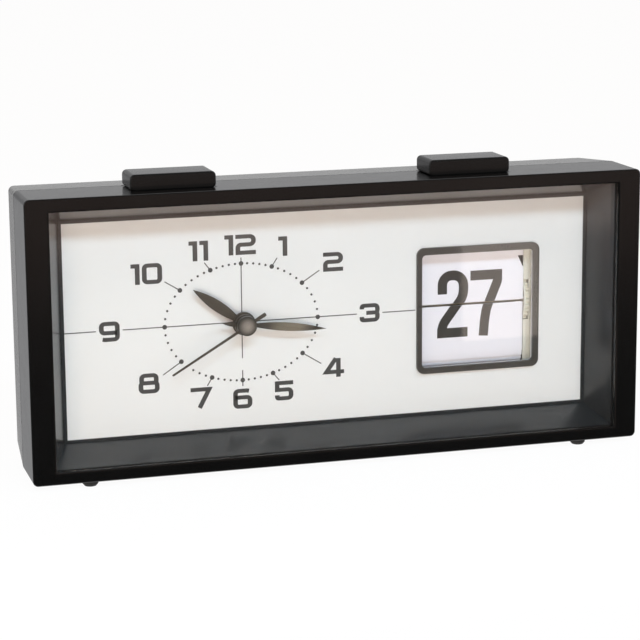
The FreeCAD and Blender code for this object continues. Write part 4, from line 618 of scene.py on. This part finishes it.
# Centre and size of each numeral in mm from the middle of the clock and the case's underside.
NUMERALS = {
    "12": (-31.2, 72.5, 10.7, 6.8), "1": (-16.6, 71.2, 3.1, 6.6), "2": (0.8, 64.9, 7.0, 6.5),
    "3": (13.6, 46.6, 7.1, 6.4), "4": (0.9, 28.4, 7.1, 6.5), "5": (-16.7, 21.8, 6.4, 6.7),
    "6": (-31.1, 20.1, 6.6, 6.8), "7": (-45.4, 21.5, 7.2, 7.0), "8": (-63.0, 27.7, 7.1, 6.8),
    "9": (-75.8, 46.1, 6.9, 6.7), "10": (-63.0, 64.6, 10.5, 6.9), "11": (-45.4, 71.2, 6.6, 6.7),
}
STEM, BAR, CORNER, ONE_WIDTH, SPACING = 1.6 * MM, 1.38 * MM, 1.05 * MM, 3.0 * MM, 0.75 * MM
print("the hands turn about", HUB, "and the dial's face lies at", DIAL_FACE)

# %% [markdown]
# A numeral of two digits shares its width out: a 1 beside another digit keeps its own narrow width
# and the other digit takes the rest, but the two digits of 11 are alike.

# %% Print the numerals
bm = bmesh.new()
for text, (x, h, width, height) in NUMERALS.items():
    left, low = (x - width / 2) * MM, BASE + (h - height / 2) * MM
    width, height = width * MM, height * MM
    ones = text.count("1") if len(text) > 1 else 0
    wide = width - (len(text) - 1) * SPACING - ones * ONE_WIDTH
    for letter in text:
        span = ONE_WIDTH if letter == "1" and len(text) > 1 else wide
        if text == "11":
            span = (width - SPACING) / 2
        write_glyph(bm, GLYPHS[letter], left, low, span, height, STEM, BAR, CORNER, INK_FRONT,
                    INK_BACK)
        left += span + SPACING
add_piece("dial_numerals", bm, "case", "dial_white", material="dial_ink")

# %% [markdown]
# The ring of dots is an ellipse, one dot every six degrees and a larger one at every hour. What
# repeats is a job for Geometry Nodes: a mesh of sixty points carries one number per point, the
# dot's size, and the tree sets a small disc on each of them. The tree ends in Realize Instances
# and Set Material, and the result is taken as a plain mesh.


# %% The tree that sets a dot on every point
def dot_tree(material, sides):
    tree = bpy.data.node_groups.new("dots_on_points", "GeometryNodeTree")
    tree.interface.new_socket("Geometry", in_out="INPUT", socket_type="NodeSocketGeometry")
    tree.interface.new_socket("Thickness", in_out="INPUT", socket_type="NodeSocketFloat")
    tree.interface.new_socket("Geometry", in_out="OUTPUT", socket_type="NodeSocketGeometry")
    net = Net(tree)
    given = net.add("NodeGroupInput")
    disc = net.add("GeometryNodeMeshCylinder", {}, {"Vertices": sides, "Radius": 1.0,
                                                    "Depth": given.out("Thickness")})
    size = net.add("GeometryNodeInputNamedAttribute", {"data_type": "FLOAT"},
                   {"Name": "dot_radius"})
    scale = net.add("ShaderNodeCombineXYZ", {}, {"X": size, "Y": size, "Z": 1.0})
    turned = net.add("FunctionNodeEulerToRotation", {}, {"Euler": (math.pi / 2, 0, 0)})
    dots = net.add("GeometryNodeInstanceOnPoints", {}, {
        "Points": given.out("Geometry"), "Instance": disc, "Rotation": turned, "Scale": scale})
    plain = net.add("GeometryNodeRealizeInstances", {}, {"Geometry": dots})
    dressed = net.add("GeometryNodeSetMaterial", {}, {"Geometry": plain, "Material": material})
    net.add("NodeGroupOutput", {}, {"Geometry": dressed})
    print("the dots' tree has", len(tree.nodes), "nodes")
    return tree


def grown(name, guide, tree, **inputs):
    """Runs a tree on a guide mesh and returns the result as a plain mesh."""
    def add_modifiers(carrier):
        modifier = carrier.modifiers.new("grow", "NODES")
        modifier.node_group = tree
        for socket in tree.interface.items_tree:
            if socket.name in inputs and socket.in_out == "INPUT":
                modifier[socket.identifier] = inputs[socket.name]
    return evaluated(name, guide, add_modifiers)


# %% Sixty dots on an ellipse
RING_H, RING_WIDE, RING_TALL = 46.36, 26.3 * MM, 19.86 * MM
HOUR_DOT, MINUTE_DOT, DOT_SIDES = 0.8 * MM, 0.4 * MM, 20


def ring_point(degrees):
    """The point of the ring that is seen from its centre at an angle from 12, clockwise."""
    sideways, upwards = math.sin(math.radians(degrees)), math.cos(math.radians(degrees))
    reach = 1 / math.hypot(sideways / RING_WIDE, upwards / RING_TALL)
    return Vector((HUB.x + sideways * reach, BASE + RING_H * MM + upwards * reach))


guide = bpy.data.meshes.new("dot_guide")
spots = [ring_point(6 * k) for k in range(60)]
guide.from_pydata([(p.x, (INK_FRONT + INK_BACK) / 2, p.y) for p in spots], [], [])
radii = guide.attributes.new("dot_radius", "FLOAT", "POINT")
radii.data.foreach_set("value", [HOUR_DOT if k % 5 == 0 else MINUTE_DOT for k in range(60)])
dots = grown("dots", guide, dot_tree(FINISHES["dial_ink"], DOT_SIDES),
             Thickness=INK_BACK - INK_FRONT)
add_piece("dial_dots", dots, "case", "dial_white", material="dial_ink")

# %% [markdown]
# Fine lines cross the dial: one from edge to edge at the height of the date's split, one from 12
# to 6, and a short leader from each hour dot towards its numeral. They are strokes like the
# numerals' own, only finer, and they stop short of each numeral.

# %% Print the lines
LINE, LINE_CLEARS = 0.38 * MM, 1.0
LINE_H, LINE_LEFT = 46.4, -90.8
UPRIGHT_X, UPRIGHT_TOP, UPRIGHT_GAP, UPRIGHT_FOOT = -31, 68.2, (34.0, 29.9), 24.4


def at(x, h):
    return (x * MM, BASE + h * MM, 0)


def past_numeral(text, side):
    x, _, width, _ = NUMERALS[text]
    return x + side * (width / 2 + LINE_CLEARS)


lines = [
    [at(LINE_LEFT, LINE_H), at(past_numeral("9", -1), LINE_H)],
    [at(past_numeral("9", 1), LINE_H), at(past_numeral("3", -1), LINE_H)],
    [at(past_numeral("3", 1), LINE_H), (rim_low.x, BASE + LINE_H * MM, 0)],
    [at(UPRIGHT_X, UPRIGHT_TOP), at(UPRIGHT_X, UPRIGHT_GAP[0])],
    [at(UPRIGHT_X, UPRIGHT_GAP[1]), at(UPRIGHT_X, UPRIGHT_FOOT)],
]
LEADERS = {1: (-18.6, 67.4), 2: (-4.0, 62.3), 4: (-3.6, 30.2), 5: (-18.4, 25.6), 7: (-43.2, 25.4),
           8: (-58.2, 30.2), 10: (-57.0, 61.6), 11: (-43.5, 67.2)}
for hour, (x, h) in LEADERS.items():
    spot = ring_point(30 * hour)
    lines.append([(spot.x, spot.y, 0), at(x, h)])
bm = bmesh.new()
for line in lines:
    add_stroke(bm, line, False, LINE, LINE, INK_FRONT + 0.01 * MM, INK_BACK)
add_piece("dial_lines", bm, "case", "dial_white", material="line_ink")

# %% [markdown]
# ## The hands
#
# The hour and minute hands are stamped leaves with a low ridge along the middle, which is what
# makes one half of a hand look darker than the other. A blade is a row of cross-sections from its
# root to its tip: a flat back, two thin edges and a raised middle.


# %% A ridged blade
def add_blade(bm, centre, degrees, stations, y, thickness, ridge):
    """Adds a blade that points at an angle from 12, clockwise. stations are (distance, width)."""
    along = Vector((math.sin(math.radians(degrees)), 0, math.cos(math.radians(degrees))))
    across = Vector((along.z, 0, -along.x))
    outwards = Vector((0, -1, 0))
    middle = Vector((centre.x, y, centre.y))
    rings = []
    for distance, width in stations:
        spot = middle + along * distance
        half = width / 2
        rise = ridge * min(1.0, width / stations[len(stations) // 2][1])
        profile = [(-half, -thickness / 2), (half, -thickness / 2), (half, 0), (0, rise),
                   (-half, 0)]
        rings.append([bm.verts.new(spot + across * a + outwards * o) for a, o in profile])
    for ring, following in zip(rings, rings[1:]):
        for k in range(5):
            bm.faces.new((ring[k], ring[k - 4], following[k - 4], following[k]))
    bm.faces.new(rings[0])
    bm.faces.new(rings[-1])


TIP_WIDTH = 0.12 * MM


def leaf_stations(length, width, first, count=22):
    """Widths of a pointed leaf along its length, close together at both ends, from the first on."""
    stations = []
    for k in range(first, count + 1):
        share = 0.5 - 0.5 * math.cos(math.pi * k / count)
        stations.append((length * share, max(TIP_WIDTH, width * 4 * share * (1 - share))))
    print(f"a leaf of {length / MM:.1f} mm in {len(stations)} stations")
    return stations


# %% [markdown]
# The hubs and the cap on the second hand are turned parts. A turned part is a profile, given as
# radius and depth, swept once round: every ring of points has the same number of sides, so the
# surface is all quads. A ring that closes on itself makes a washer.


# %% A turned part
BREAK = 0.1 * MM


def add_turned(bm, centre, profile, sides=56):
    """Sweeps a closed profile of (radius, y) round an axis along Y. Radius 0 makes a pole."""
    rings = []
    for radius, y in profile:
        if radius == 0:
            rings.append([bm.verts.new((centre.x, y, centre.y))])
            continue
        rings.append([bm.verts.new((centre.x + radius * math.cos(2 * math.pi * k / sides), y,
                                    centre.y + radius * math.sin(2 * math.pi * k / sides)))
                      for k in range(sides)])
    loop = profile[0][0] != 0
    pairs = list(zip(rings, rings[1:])) + ([(rings[-1], rings[0])] if loop else [])
    for ring, following in pairs:
        for k in range(sides):
            corners = [ring[k % len(ring)], ring[(k + 1) % len(ring)],
                       following[(k + 1) % len(following)], following[k % len(following)]]
            bm.faces.new(list(dict.fromkeys(corners)))


def rounded_rim(radius, front, back, round_off, steps=6):
    """The outer part of a turned profile, from the front face round the rim to the back."""
    profile = []
    for k in range(steps + 1):
        a = math.pi / 2 * k / steps
        profile.append((radius - round_off + round_off * math.sin(a),
                        front + round_off - round_off * math.cos(a)))
    return profile + [(radius, back - BREAK), (radius - BREAK, back)]


# %% [markdown]
# The minute hand and the cap carry a painted highlight in their lacquer's colour: a lighter zone
# where they would mirror a bright part of the room, with painted shade towards the hub and the tip
# of the hand and towards the rim of the cap. It depends on the distance from the axis alone, so it
# stays the same while they turn: a ramp from that distance to a colour gives it.


# %% Painted highlights that change with the distance from the axis
LACQUER_SPREAD = 0.06
CAP_RADIUS = 3.3 * MM


def radial_painted_highlight(name, reach, stops, rough):
    """A lacquer colour that follows a ramp from the axis to the reach: a painted highlight with
    painted shade round it.
    """
    made, net = new_material(name)
    place = net.add("ShaderNodeTexCoord").out("Object")
    flat = net.add("ShaderNodeVectorMath", {"operation": "MULTIPLY_ADD"},
                   {0: place, 1: (1, 0, 1), 2: (-HUB.x, 0, -HUB.y)})
    distance = net.add("ShaderNodeVectorMath", {"operation": "LENGTH"}, {0: flat}).out("Value")
    share = net.add("ShaderNodeMapRange", {}, {"Value": distance, "From Max": reach})
    colour = net.add("ShaderNodeValToRGB", {"stops": stops}, {0: share})
    cloud = net.add("ShaderNodeTexNoise", {}, {"Vector": place, "Scale": 400.0})
    body = net.add("ShaderNodeBsdfPrincipled", {}, {
        "Base Color": colour, "Roughness": wander(rough, cloud, LACQUER_SPREAD),
        "IOR": PLASTIC_IOR})
    FINISHES[name] = close_material(made, net, body)


# Painted highlight: lighter over the middle of the minute hand, painted shade near the hub and at
# the tip.
radial_painted_highlight("minute_lacquer", 30 * MM, [
    (0.26, (0.07, 0.06, 0.05)), (0.38, (0.18, 0.155, 0.117)), (0.62, (0.215, 0.182, 0.138)),
    (0.8, (0.06, 0.053, 0.045))], 0.34)
# Painted highlight in the middle of the cap's dome, fading to painted shade at its rim.
radial_painted_highlight("cap_lacquer", CAP_RADIUS, [
    (0.0, (0.3, 0.262, 0.23)), (0.45, (0.22, 0.19, 0.167)), (0.8, (0.09, 0.08, 0.07)),
    (1.0, (0.04, 0.036, 0.032))], 0.3)
print("lacquers for the minute hand and the cap, out of", len(FINISHES), "finishes in all")

# %% [markdown]
# Each hand is one piece on the real clock: a leaf pressed onto a hub whose bore fits its pipe. So
# blade and hub go into one mesh. The leaf starts a few stations out, inside the hub, where its
# point would only be hidden. The minute hand has a short tail that balances it.

# %% The hour and minute hands
HAND_THICK, RIDGE, TAIL_RIDGE, HUB_ROUND, HAND_SMOOTH = 0.3 * MM, 0.3 * MM, 0.18 * MM, 0.45 * MM, 16
HOUR_ANGLE, MINUTE_ANGLE, SECOND_ANGLE = 306.0, 96.4, 239.6
HOUR_LENGTH, HOUR_WIDTH, HOUR_HUB, HOUR_BORE = 21.2 * MM, 3.7 * MM, 3.9 * MM, 1.74 * MM
MINUTE_LENGTH, MINUTE_WIDTH, MINUTE_HUB, MINUTE_BORE = 28 * MM, 2.9 * MM, 3.5 * MM, 1.14 * MM
TAIL_LENGTH, TAIL_WIDTH = 7.8 * MM, 1.7 * MM


def hand_depths(node):
    low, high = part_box(node)
    return low.y, high.y, (low.y + high.y) / 2


def add_hub(bm, radius, bore, front, back):
    add_turned(bm, HUB, [(bore, back), (bore, front + BREAK), (bore + BREAK, front)]
               + rounded_rim(radius, front, back, HUB_ROUND))


front, back, middle = hand_depths("hour_hand")
bm = bmesh.new()
add_blade(bm, HUB, HOUR_ANGLE, leaf_stations(HOUR_LENGTH, HOUR_WIDTH, 3), middle, HAND_THICK, RIDGE)
add_hub(bm, HOUR_HUB, HOUR_BORE, front, back)
add_piece("hour_hand_leaf", bm, "hour_hand_body", "hand_black", ["hour_hand"], smooth=HAND_SMOOTH)

front, back, middle = hand_depths("minute_hand")
bm = bmesh.new()
add_blade(bm, HUB, MINUTE_ANGLE, leaf_stations(MINUTE_LENGTH, MINUTE_WIDTH, 3), middle, HAND_THICK,
          RIDGE)
add_blade(bm, HUB, MINUTE_ANGLE + 180, leaf_stations(TAIL_LENGTH, TAIL_WIDTH, 4), middle,
          HAND_THICK, TAIL_RIDGE)
add_hub(bm, MINUTE_HUB, MINUTE_BORE, front, back)
add_piece("minute_hand_leaf", bm, "minute_hand_body", "hand_black", ["minute_hand"],
          material="minute_lacquer", smooth=HAND_SMOOTH)

# %% [markdown]
# The second hand is a thin needle with a short, thicker tail. It carries a domed cap that hides
# the arbor, so its profile closes to a pole at the front.

# %% The second hand and its cap
NEEDLE = [(1 * MM, 0.95 * MM), (10 * MM, 0.85 * MM), (29.2 * MM, 0.7 * MM), (29.6 * MM, 0.5 * MM)]
COUNTERWEIGHT = [(1 * MM, 1.1 * MM), (6.8 * MM, 1.3 * MM), (7.4 * MM, 1.1 * MM)]
NEEDLE_RIDGE, CAP_DOME, DOME_STEPS = 0.12 * MM, 1.1 * MM, 8
CAP_BORE, CAP_BORE_DEPTH = 0.52 * MM, 0.85 * MM
front, back, middle = hand_depths("second_hand")
bm = bmesh.new()
add_blade(bm, HUB, SECOND_ANGLE, NEEDLE, middle, HAND_THICK, NEEDLE_RIDGE)
add_blade(bm, HUB, SECOND_ANGLE + 180, COUNTERWEIGHT, middle, HAND_THICK, NEEDLE_RIDGE)
dome = [(0, front)]
for k in range(1, DOME_STEPS + 1):
    a = math.pi / 2 * k / DOME_STEPS
    dome.append((CAP_RADIUS * math.sin(a), front + CAP_DOME * (1 - math.cos(a))))
cap_bm = bmesh.new()
add_turned(cap_bm, HUB, dome + [(CAP_RADIUS, back - BREAK), (CAP_RADIUS - BREAK, back),
                                (CAP_BORE, back), (CAP_BORE, front + CAP_BORE_DEPTH),
                                (0, front + CAP_BORE_DEPTH)])
add_piece("second_hand_needle", bm, "second_hand_body", "hand_black", ["second_hand"])
add_piece("second_hand_cap", cap_bm, "second_hand_body", "hand_black", ["second_hand"],
          material="cap_lacquer", smooth=HAND_SMOOTH)

# %% [markdown]
# ## The date
#
# The date's digits are tall and narrow. Each is printed across two leaves: the upper half rides on
# the leaf that falls, and the lower half stays on the leaf below. So a digit is written whole,
# then cut at the split. The back of the falling leaf carries the lower half of the next number,
# upside down, so that it reads the right way once the leaf has dropped.

# %% Digits of the date
DATE_GLYPHS = {
    "2": [(False, [(0, 0.68, 0), (0, 1, 4.2), (1, 1, 4.2), (1, 0.63, 7), (0, 0.13, 7),
                   (0, "b", 0)]),
          (False, [("l", 0, 0), ("r", 0, 0)])],
    "7": [(False, [("l", 1, 0), (1, 1, 0), (1, 0.88, 2.5), (0.49, 0.37, 22), (0.4, "b", 0)])],
    "8": [(True, [(0.06, 0.52, 3.2), (0.94, 0.52, 3.2), (0.94, 1, 3.6), (0.06, 1, 3.6)]),
          (True, [(0, 0, 4), (1, 0, 4), (1, 0.52, 3.6), (0, 0.52, 3.6)])],
}
DATE_STROKE = 3.4 * MM

# Left edge, foot, width and height of each digit in mm, from the same zero as the numerals.
DATE_BOXES = {"2": (39.5, 34.8, 11.1, 23.6), "7": (51.4, 34.7, 11.6, 23.2),
              "8": (51.6, 34.8, 11.3, 23.4)}
leaf_low, leaf_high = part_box("flip_leaf")
under_low, under_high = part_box("lower_leaves")
behind_low, behind_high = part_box("upper_leaves")
SPLIT = BASE + LINE_H * MM
LEAF_HINGE_Y = (leaf_low.y + leaf_high.y) / 2
PRINT = 0.014 * MM


def date_print(digits, front, part, flip):
    """One number cut at the split: part is upper or lower. flip turns it onto a leaf's back."""
    bm = bmesh.new()
    for digit in digits:
        x, h, width, height = DATE_BOXES[digit]
        write_glyph(bm, DATE_GLYPHS[digit], x * MM, BASE + h * MM, width * MM, height * MM,
                    DATE_STROKE, DATE_STROKE, MM, front, front + 2 * PRINT)
    if part == "upper":
        keep_side(bm, (0, 0, leaf_low.z), (0, 0, -1))
    else:
        keep_side(bm, (0, 0, 2 * SPLIT - leaf_low.z), (0, 0, 1))
    if flip:
        for v in bm.verts:
            v.co.y, v.co.z = 2 * LEAF_HINGE_Y - v.co.y, 2 * SPLIT - v.co.z
    return bm


print("digits for", ", ".join(DATE_BOXES), "that part at", SPLIT)

# %% [markdown]
# Four prints make the date that stands and the one that the next press of the button brings. The
# two that turn with the falling leaf ride on its body, and the other two stay with the case.

# %% Print the date on its leaves
for name, number, face, part, flip, body in (
        ("date_upper_print", "27", leaf_low.y, "upper", False, "flip_leaf_body"),
        ("date_lower_print", "27", under_low.y, "lower", False, "case"),
        ("next_upper_print", "28", behind_low.y, "upper", False, "case"),
        ("next_lower_print", "28", leaf_low.y, "lower", True, "flip_leaf_body")):
    add_piece(name, date_print(number, face - PRINT, part, flip), body, "card", material="ink")

# %% [markdown]
# Every leaf of the calendar is cut from one die, so the leaves behind have the same notch near
# their upper right corner as the one in front. It could be modelled into each leaf, but one
# triangle, taken out of the whole row with a Boolean, cuts them all alike.

# %% Notch the leaves that wait behind
NOTCH_TOP, NOTCH_WIDE, NOTCH_TALL = leaf_high.z - 1.9 * MM, 2.1 * MM, 4.5 * MM
edge_x = behind_high.x
bm = bmesh.new()
outline = [(edge_x - NOTCH_WIDE, NOTCH_TOP), (edge_x + MM, NOTCH_TOP),
           (edge_x + MM, NOTCH_TOP - NOTCH_TALL), (edge_x, NOTCH_TOP - NOTCH_TALL)]
ends = [[bm.verts.new((x, y, z)) for x, z in outline]
        for y in (behind_low.y - MM, behind_high.y + MM)]
for k in range(4):
    bm.faces.new((ends[0][k], ends[0][k - 3], ends[1][k - 3], ends[1][k]))
for end in ends:
    bm.faces.new(end)
punch = bpy.data.objects.new("punch", mesh_of("punch", bm))
scene.collection.objects.link(punch)


def add_punch(carrier):
    cut = carrier.modifiers.new("notch", "BOOLEAN")
    cut.operation, cut.solver, cut.object = "DIFFERENCE", "EXACT", punch


waiting = evaluated("waiting_leaves", mesh_of("waiting_leaves", whole_copy("upper_leaves")),
                    add_punch)
bpy.data.objects.remove(punch)
add_piece("waiting_leaves", waiting, "case", "card", ["upper_leaves"])

# %% [markdown]
# Beside the leaves the chassis closes the well with a narrow flange, the pale strip between the
# cards and the dark rim. The toothed wheel turns in a slot of it. One plate with a slot cut out
# would do as well, but three small pillows like those of the buttons, above, below and beside the
# wheel, come round at every edge. The slot is as tall as the wheel is where it passes through.

# %% The chassis' flanges beside the leaves
wheel_low, wheel_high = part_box("drum_gear")
wheel_middle, wheel_radius = (wheel_low + wheel_high) / 2, (wheel_high.z - wheel_low.z) / 2
FLANGE_LEFT, FLANGE_RIGHT = wheel_low.x - 0.5 * MM, wheel_high.x + 0.95 * MM
FLANGE_FRONT, FLANGE_BACK = leaf_high.y + 0.6 * MM, leaf_high.y + 1.2 * MM
FLANGE_TOP, FLANGE_FOOT = rim_high.z + 0.8 * MM, rim_low.z + 0.2 * MM
WHEEL_ROOM, WHEEL_SIDE = 0.5 * MM, 0.3 * MM
FLANGE_CORNER, FLANGE_RIM = 0.15 * MM, 0.12 * MM
slot = math.sqrt(wheel_radius ** 2 - (wheel_middle.y - FLANGE_BACK) ** 2) + WHEEL_ROOM
bm = bmesh.new()
for left, low, high in ((FLANGE_LEFT, wheel_middle.z + slot, FLANGE_TOP),
                        (FLANGE_LEFT, FLANGE_FOOT, wheel_middle.z - slot),
                        (wheel_high.x + WHEEL_SIDE, wheel_middle.z - slot, wheel_middle.z + slot)):
    add_pillow(bm, (left, FLANGE_FRONT, low), (FLANGE_RIGHT, FLANGE_BACK, high), FLANGE_CORNER,
               FLANGE_RIM)
add_piece("well_flanges", bm, "case", "inner_white", smooth=ROUND_UP_TO)

# %% [markdown]
# ## The studio
#
# A plain pale floor, a soft even world and four soft lamps. Floor and world are white to the
# camera and to anything that mirrors them, and the floor keeps a little of its own shading so that
# the clock still stands on it. Brighter lamps would whiten the floor too, but the dial with it.


# %% The floor
def flat_panel(name, corners, material):
    mesh = bpy.data.meshes.new(name)
    mesh.from_pydata(corners, [], [tuple(range(k, k + 4)) for k in range(0, len(corners), 4)])
    mesh.materials.append(material)
    panel = bpy.data.objects.new(name, mesh)
    scene.collection.objects.link(panel)
    return panel


def seen_directly(net):
    path = net.add("ShaderNodeLightPath")
    return path.out("Is Camera Ray") + path.out("Is Glossy Ray") + path.out("Is Transmission Ray")


FLOOR_REACH, FLOOR_GLOW = 4.0, 0.955
made, net = new_material("floor_paper")
paper = net.add("ShaderNodeBsdfDiffuse", {}, {"Color": (0.9, 0.9, 0.9, 1)})
lit = net.add("ShaderNodeEmission", {}, {"Color": (1, 1, 1, 1), "Strength": 1.0})
mixed = net.add("ShaderNodeMixShader", {}, {0: seen_directly(net) * FLOOR_GLOW, 1: paper, 2: lit})
flat_panel("floor", [(-FLOOR_REACH, -FLOOR_REACH, 0), (FLOOR_REACH, -FLOOR_REACH, 0),
                     (FLOOR_REACH, FLOOR_REACH, 0), (-FLOOR_REACH, FLOOR_REACH, 0)],
           close_material(made, net, mixed))
print("a floor of", 2 * FLOOR_REACH, "m each way")

# %% [markdown]
# The world fills the shadows with a warm, even light. The lamp above is cooler, so what faces up
# comes out neutral and what lies deep in the well warms a little, as in a room.

# %% The world round the clock
WORLD_FILL = 0.6
scene.world = bpy.data.worlds.new("studio")
scene.world.use_nodes = True
scene.world.node_tree.nodes.clear()
net = Net(scene.world.node_tree)
soft = net.add("ShaderNodeBackground", {},
               {"Color": (1.0, 0.755, 0.59, 1), "Strength": WORLD_FILL})
bright = net.add("ShaderNodeBackground", {}, {"Color": (1, 1, 1, 1), "Strength": 1.0})
net.add("ShaderNodeOutputWorld", {}, {"Surface": net.add(
    "ShaderNodeMixShader", {}, {0: seen_directly(net), 1: soft, 2: bright})})
scene.view_settings.view_transform = "Standard"
print("the world fills at", WORLD_FILL)

# %% [markdown]
# Glossy black shows only what it mirrors. In a studio, grey and black cards stand round such a
# thing, just out of view, to decide what that is. The cards here are seen by reflections only:
# black in front, so that the face stays deep, and mid grey behind and beside it. The card in front
# grows lighter and warmer with its distance, and so does the face of the clock upwards. A small
# bright one lies where the lens mirrors it, as the soft gleam over the date.


# %% Cards that only reflections see
SKIM = 0.5 * MM
LEFT, RIGHT, FRONT, BACK = -0.7, 0.9, -0.6, 0.6
WALL_TOP, CEILING, CEILING_BACK = 0.6, 1.4, 0.1
CORNER_RIGHT, CORNER_TOP = -0.12, 0.165


def reflection_card(name, corners, level, far_stops=()):
    """A card of one level, or of levels that follow its distance in front of the clock."""
    made, net = new_material(name)
    glow = net.add("ShaderNodeEmission", {}, {"Color": (*level, 1), "Strength": 1.0})
    if far_stops:
        place = net.add("ShaderNodeTexCoord").out("Object")
        depth = net.add("ShaderNodeSeparateXYZ", {}, {0: place}).out("Y")
        share = net.add("ShaderNodeMapRange", {},
                        {"Value": depth, "From Min": 0.0, "From Max": FRONT})
        ramp = net.add("ShaderNodeValToRGB", {"stops": far_stops}, {0: share})
        glow = net.add("ShaderNodeEmission", {}, {"Color": ramp, "Strength": 1.0})
    panel = flat_panel(name, corners, close_material(made, net, glow))
    panel.visible_camera = panel.visible_diffuse = panel.visible_shadow = False
    panel.visible_transmission = False


def on_floor(left, near, right, far):
    """The corners of a card that lies just above the floor."""
    return [(left, near, SKIM), (right, near, SKIM), (right, far, SKIM), (left, far, SKIM)]


def upright(left, right, y, low, high):
    """The corners of a card that stands across the view."""
    return [(left, y, low), (right, y, low), (right, y, high), (left, y, high)]


reflection_card("front_floor_card", on_floor(LEFT, FRONT, RIGHT, -0.028), (0, 0, 0), [
    (0.35, (0.02, 0.02, 0.02)), (0.5, (0.07, 0.055, 0.05)), (0.66, (0.2, 0.145, 0.125)),
    (0.77, (0.58, 0.42, 0.36))])
reflection_card("front_wall_card", upright(LEFT, RIGHT, FRONT, 0, WALL_TOP), (0.38, 0.28, 0.24))
reflection_card("upper_black_card", upright(LEFT, RIGHT, FRONT, WALL_TOP, CEILING)
                + [(LEFT, FRONT, CEILING), (RIGHT, FRONT, CEILING),
                   (RIGHT, CEILING_BACK, CEILING), (LEFT, CEILING_BACK, CEILING)],
                (0.06, 0.06, 0.06))
reflection_card("side_grey_card", on_floor(LEFT, -0.03, -0.1055, BACK), (0.56, 0.56, 0.57))
reflection_card("corner_grey_card", upright(LEFT, CORNER_RIGHT, BACK, 0, CORNER_TOP),
                (0.4, 0.4, 0.41))
reflection_card("back_grey_card", upright(LEFT, RIGHT, BACK, CORNER_TOP, WALL_TOP),
                (0.54, 0.54, 0.55))
reflection_card("lens_glow_card", [(x, y, 2 * SKIM) for x, y in (
    (0.101, -0.187), (0.1354, -0.188), (0.2209, -0.4035), (0.177, -0.4))], (1.3, 1.1, 0.98))
print("cards round the clock, from", LEFT, "to", RIGHT, "m across")

# %% [markdown]
# Area lamps give the soft shadows of a light tent. The large one hangs above and in front, two warm
# ones fill from the front and the left, and a faint low one lifts the inside of the well. None of
# them is mirrored, because the cards decide what the gloss shows.


# %% Four soft lamps
def soft_lamp(name, energy, colour, size, place, aim):
    lamp = bpy.data.lights.new(name, "AREA")
    lamp.energy, lamp.color, lamp.shape = energy, colour, "RECTANGLE"
    lamp.size, lamp.size_y = size
    light = bpy.data.objects.new(name, lamp)
    scene.collection.objects.link(light)
    light.location = place
    light.rotation_euler = (Vector(aim) - Vector(place)).to_track_quat("-Z", "Y").to_euler()
    light.visible_glossy = light.visible_camera = False
    print(f"{name}: {energy} W")


COOL, WARM, LAMP_AIM = (0.58, 0.82, 1.0), (1.0, 0.8, 0.64), (0, -0.01, 0.05)
soft_lamp("overhead_lamp", 39.5, COOL, (1.6, 0.3), (-0.15, -1.5, 1.25), LAMP_AIM)
soft_lamp("front_lamp", 9.5, WARM, (1.2, 0.5), (-0.6, -1.1, 0.08), LAMP_AIM)
soft_lamp("side_lamp", 7.0, WARM, (0.5, 0.5), (-1.15, -0.8, 0.15), LAMP_AIM)
soft_lamp("low_lamp", 0.2, (1.0, 0.95, 0.9), (0.6, 0.05), (0.02, -0.18, 0.03), (0.02, -0.01, 0.04))

# %% [markdown]
# ## The camera
#
# A long lens from a little to the left and above, turned by three small angles. Its distance and
# its aim are given in widths of the case, so the view keeps its proportions.

# %% Place the camera
YAW, PITCH, ROLL = -0.281469, -0.209699, 0.00788727
AIM, DISTANCE, ASIDE, ABOVE = Vector((0, 0.08, 0.22)), 3.642142, 0.0166517, 0.00653968
FOCAL_LENGTH, SENSOR = 127.575, 36
CASE_WIDTH = cad_box[1].x - cad_box[0].x
turn = Matrix.Rotation(YAW, 3, "Z") @ Matrix.Rotation(PITCH, 3, "X") @ Matrix.Rotation(ROLL, 3, "Y")
right, forward, up = turn.col
eye = (AIM - DISTANCE * forward - ASIDE * right - ABOVE * up) * CASE_WIDTH
eye += Vector((0, cad_box[0].y, BASE))
lens = bpy.data.cameras.new("camera")
lens.lens, lens.sensor_width, lens.clip_start, lens.clip_end = FOCAL_LENGTH, SENSOR, 0.05, 20
camera = bpy.data.objects.new("camera", lens)
upright_turn = (turn @ Matrix.Rotation(math.pi / 2, 3, "X")).to_4x4()
camera.matrix_world = Matrix.Translation(eye) @ upright_turn
scene.collection.objects.link(camera)
scene.camera = camera
print("camera at", eye)
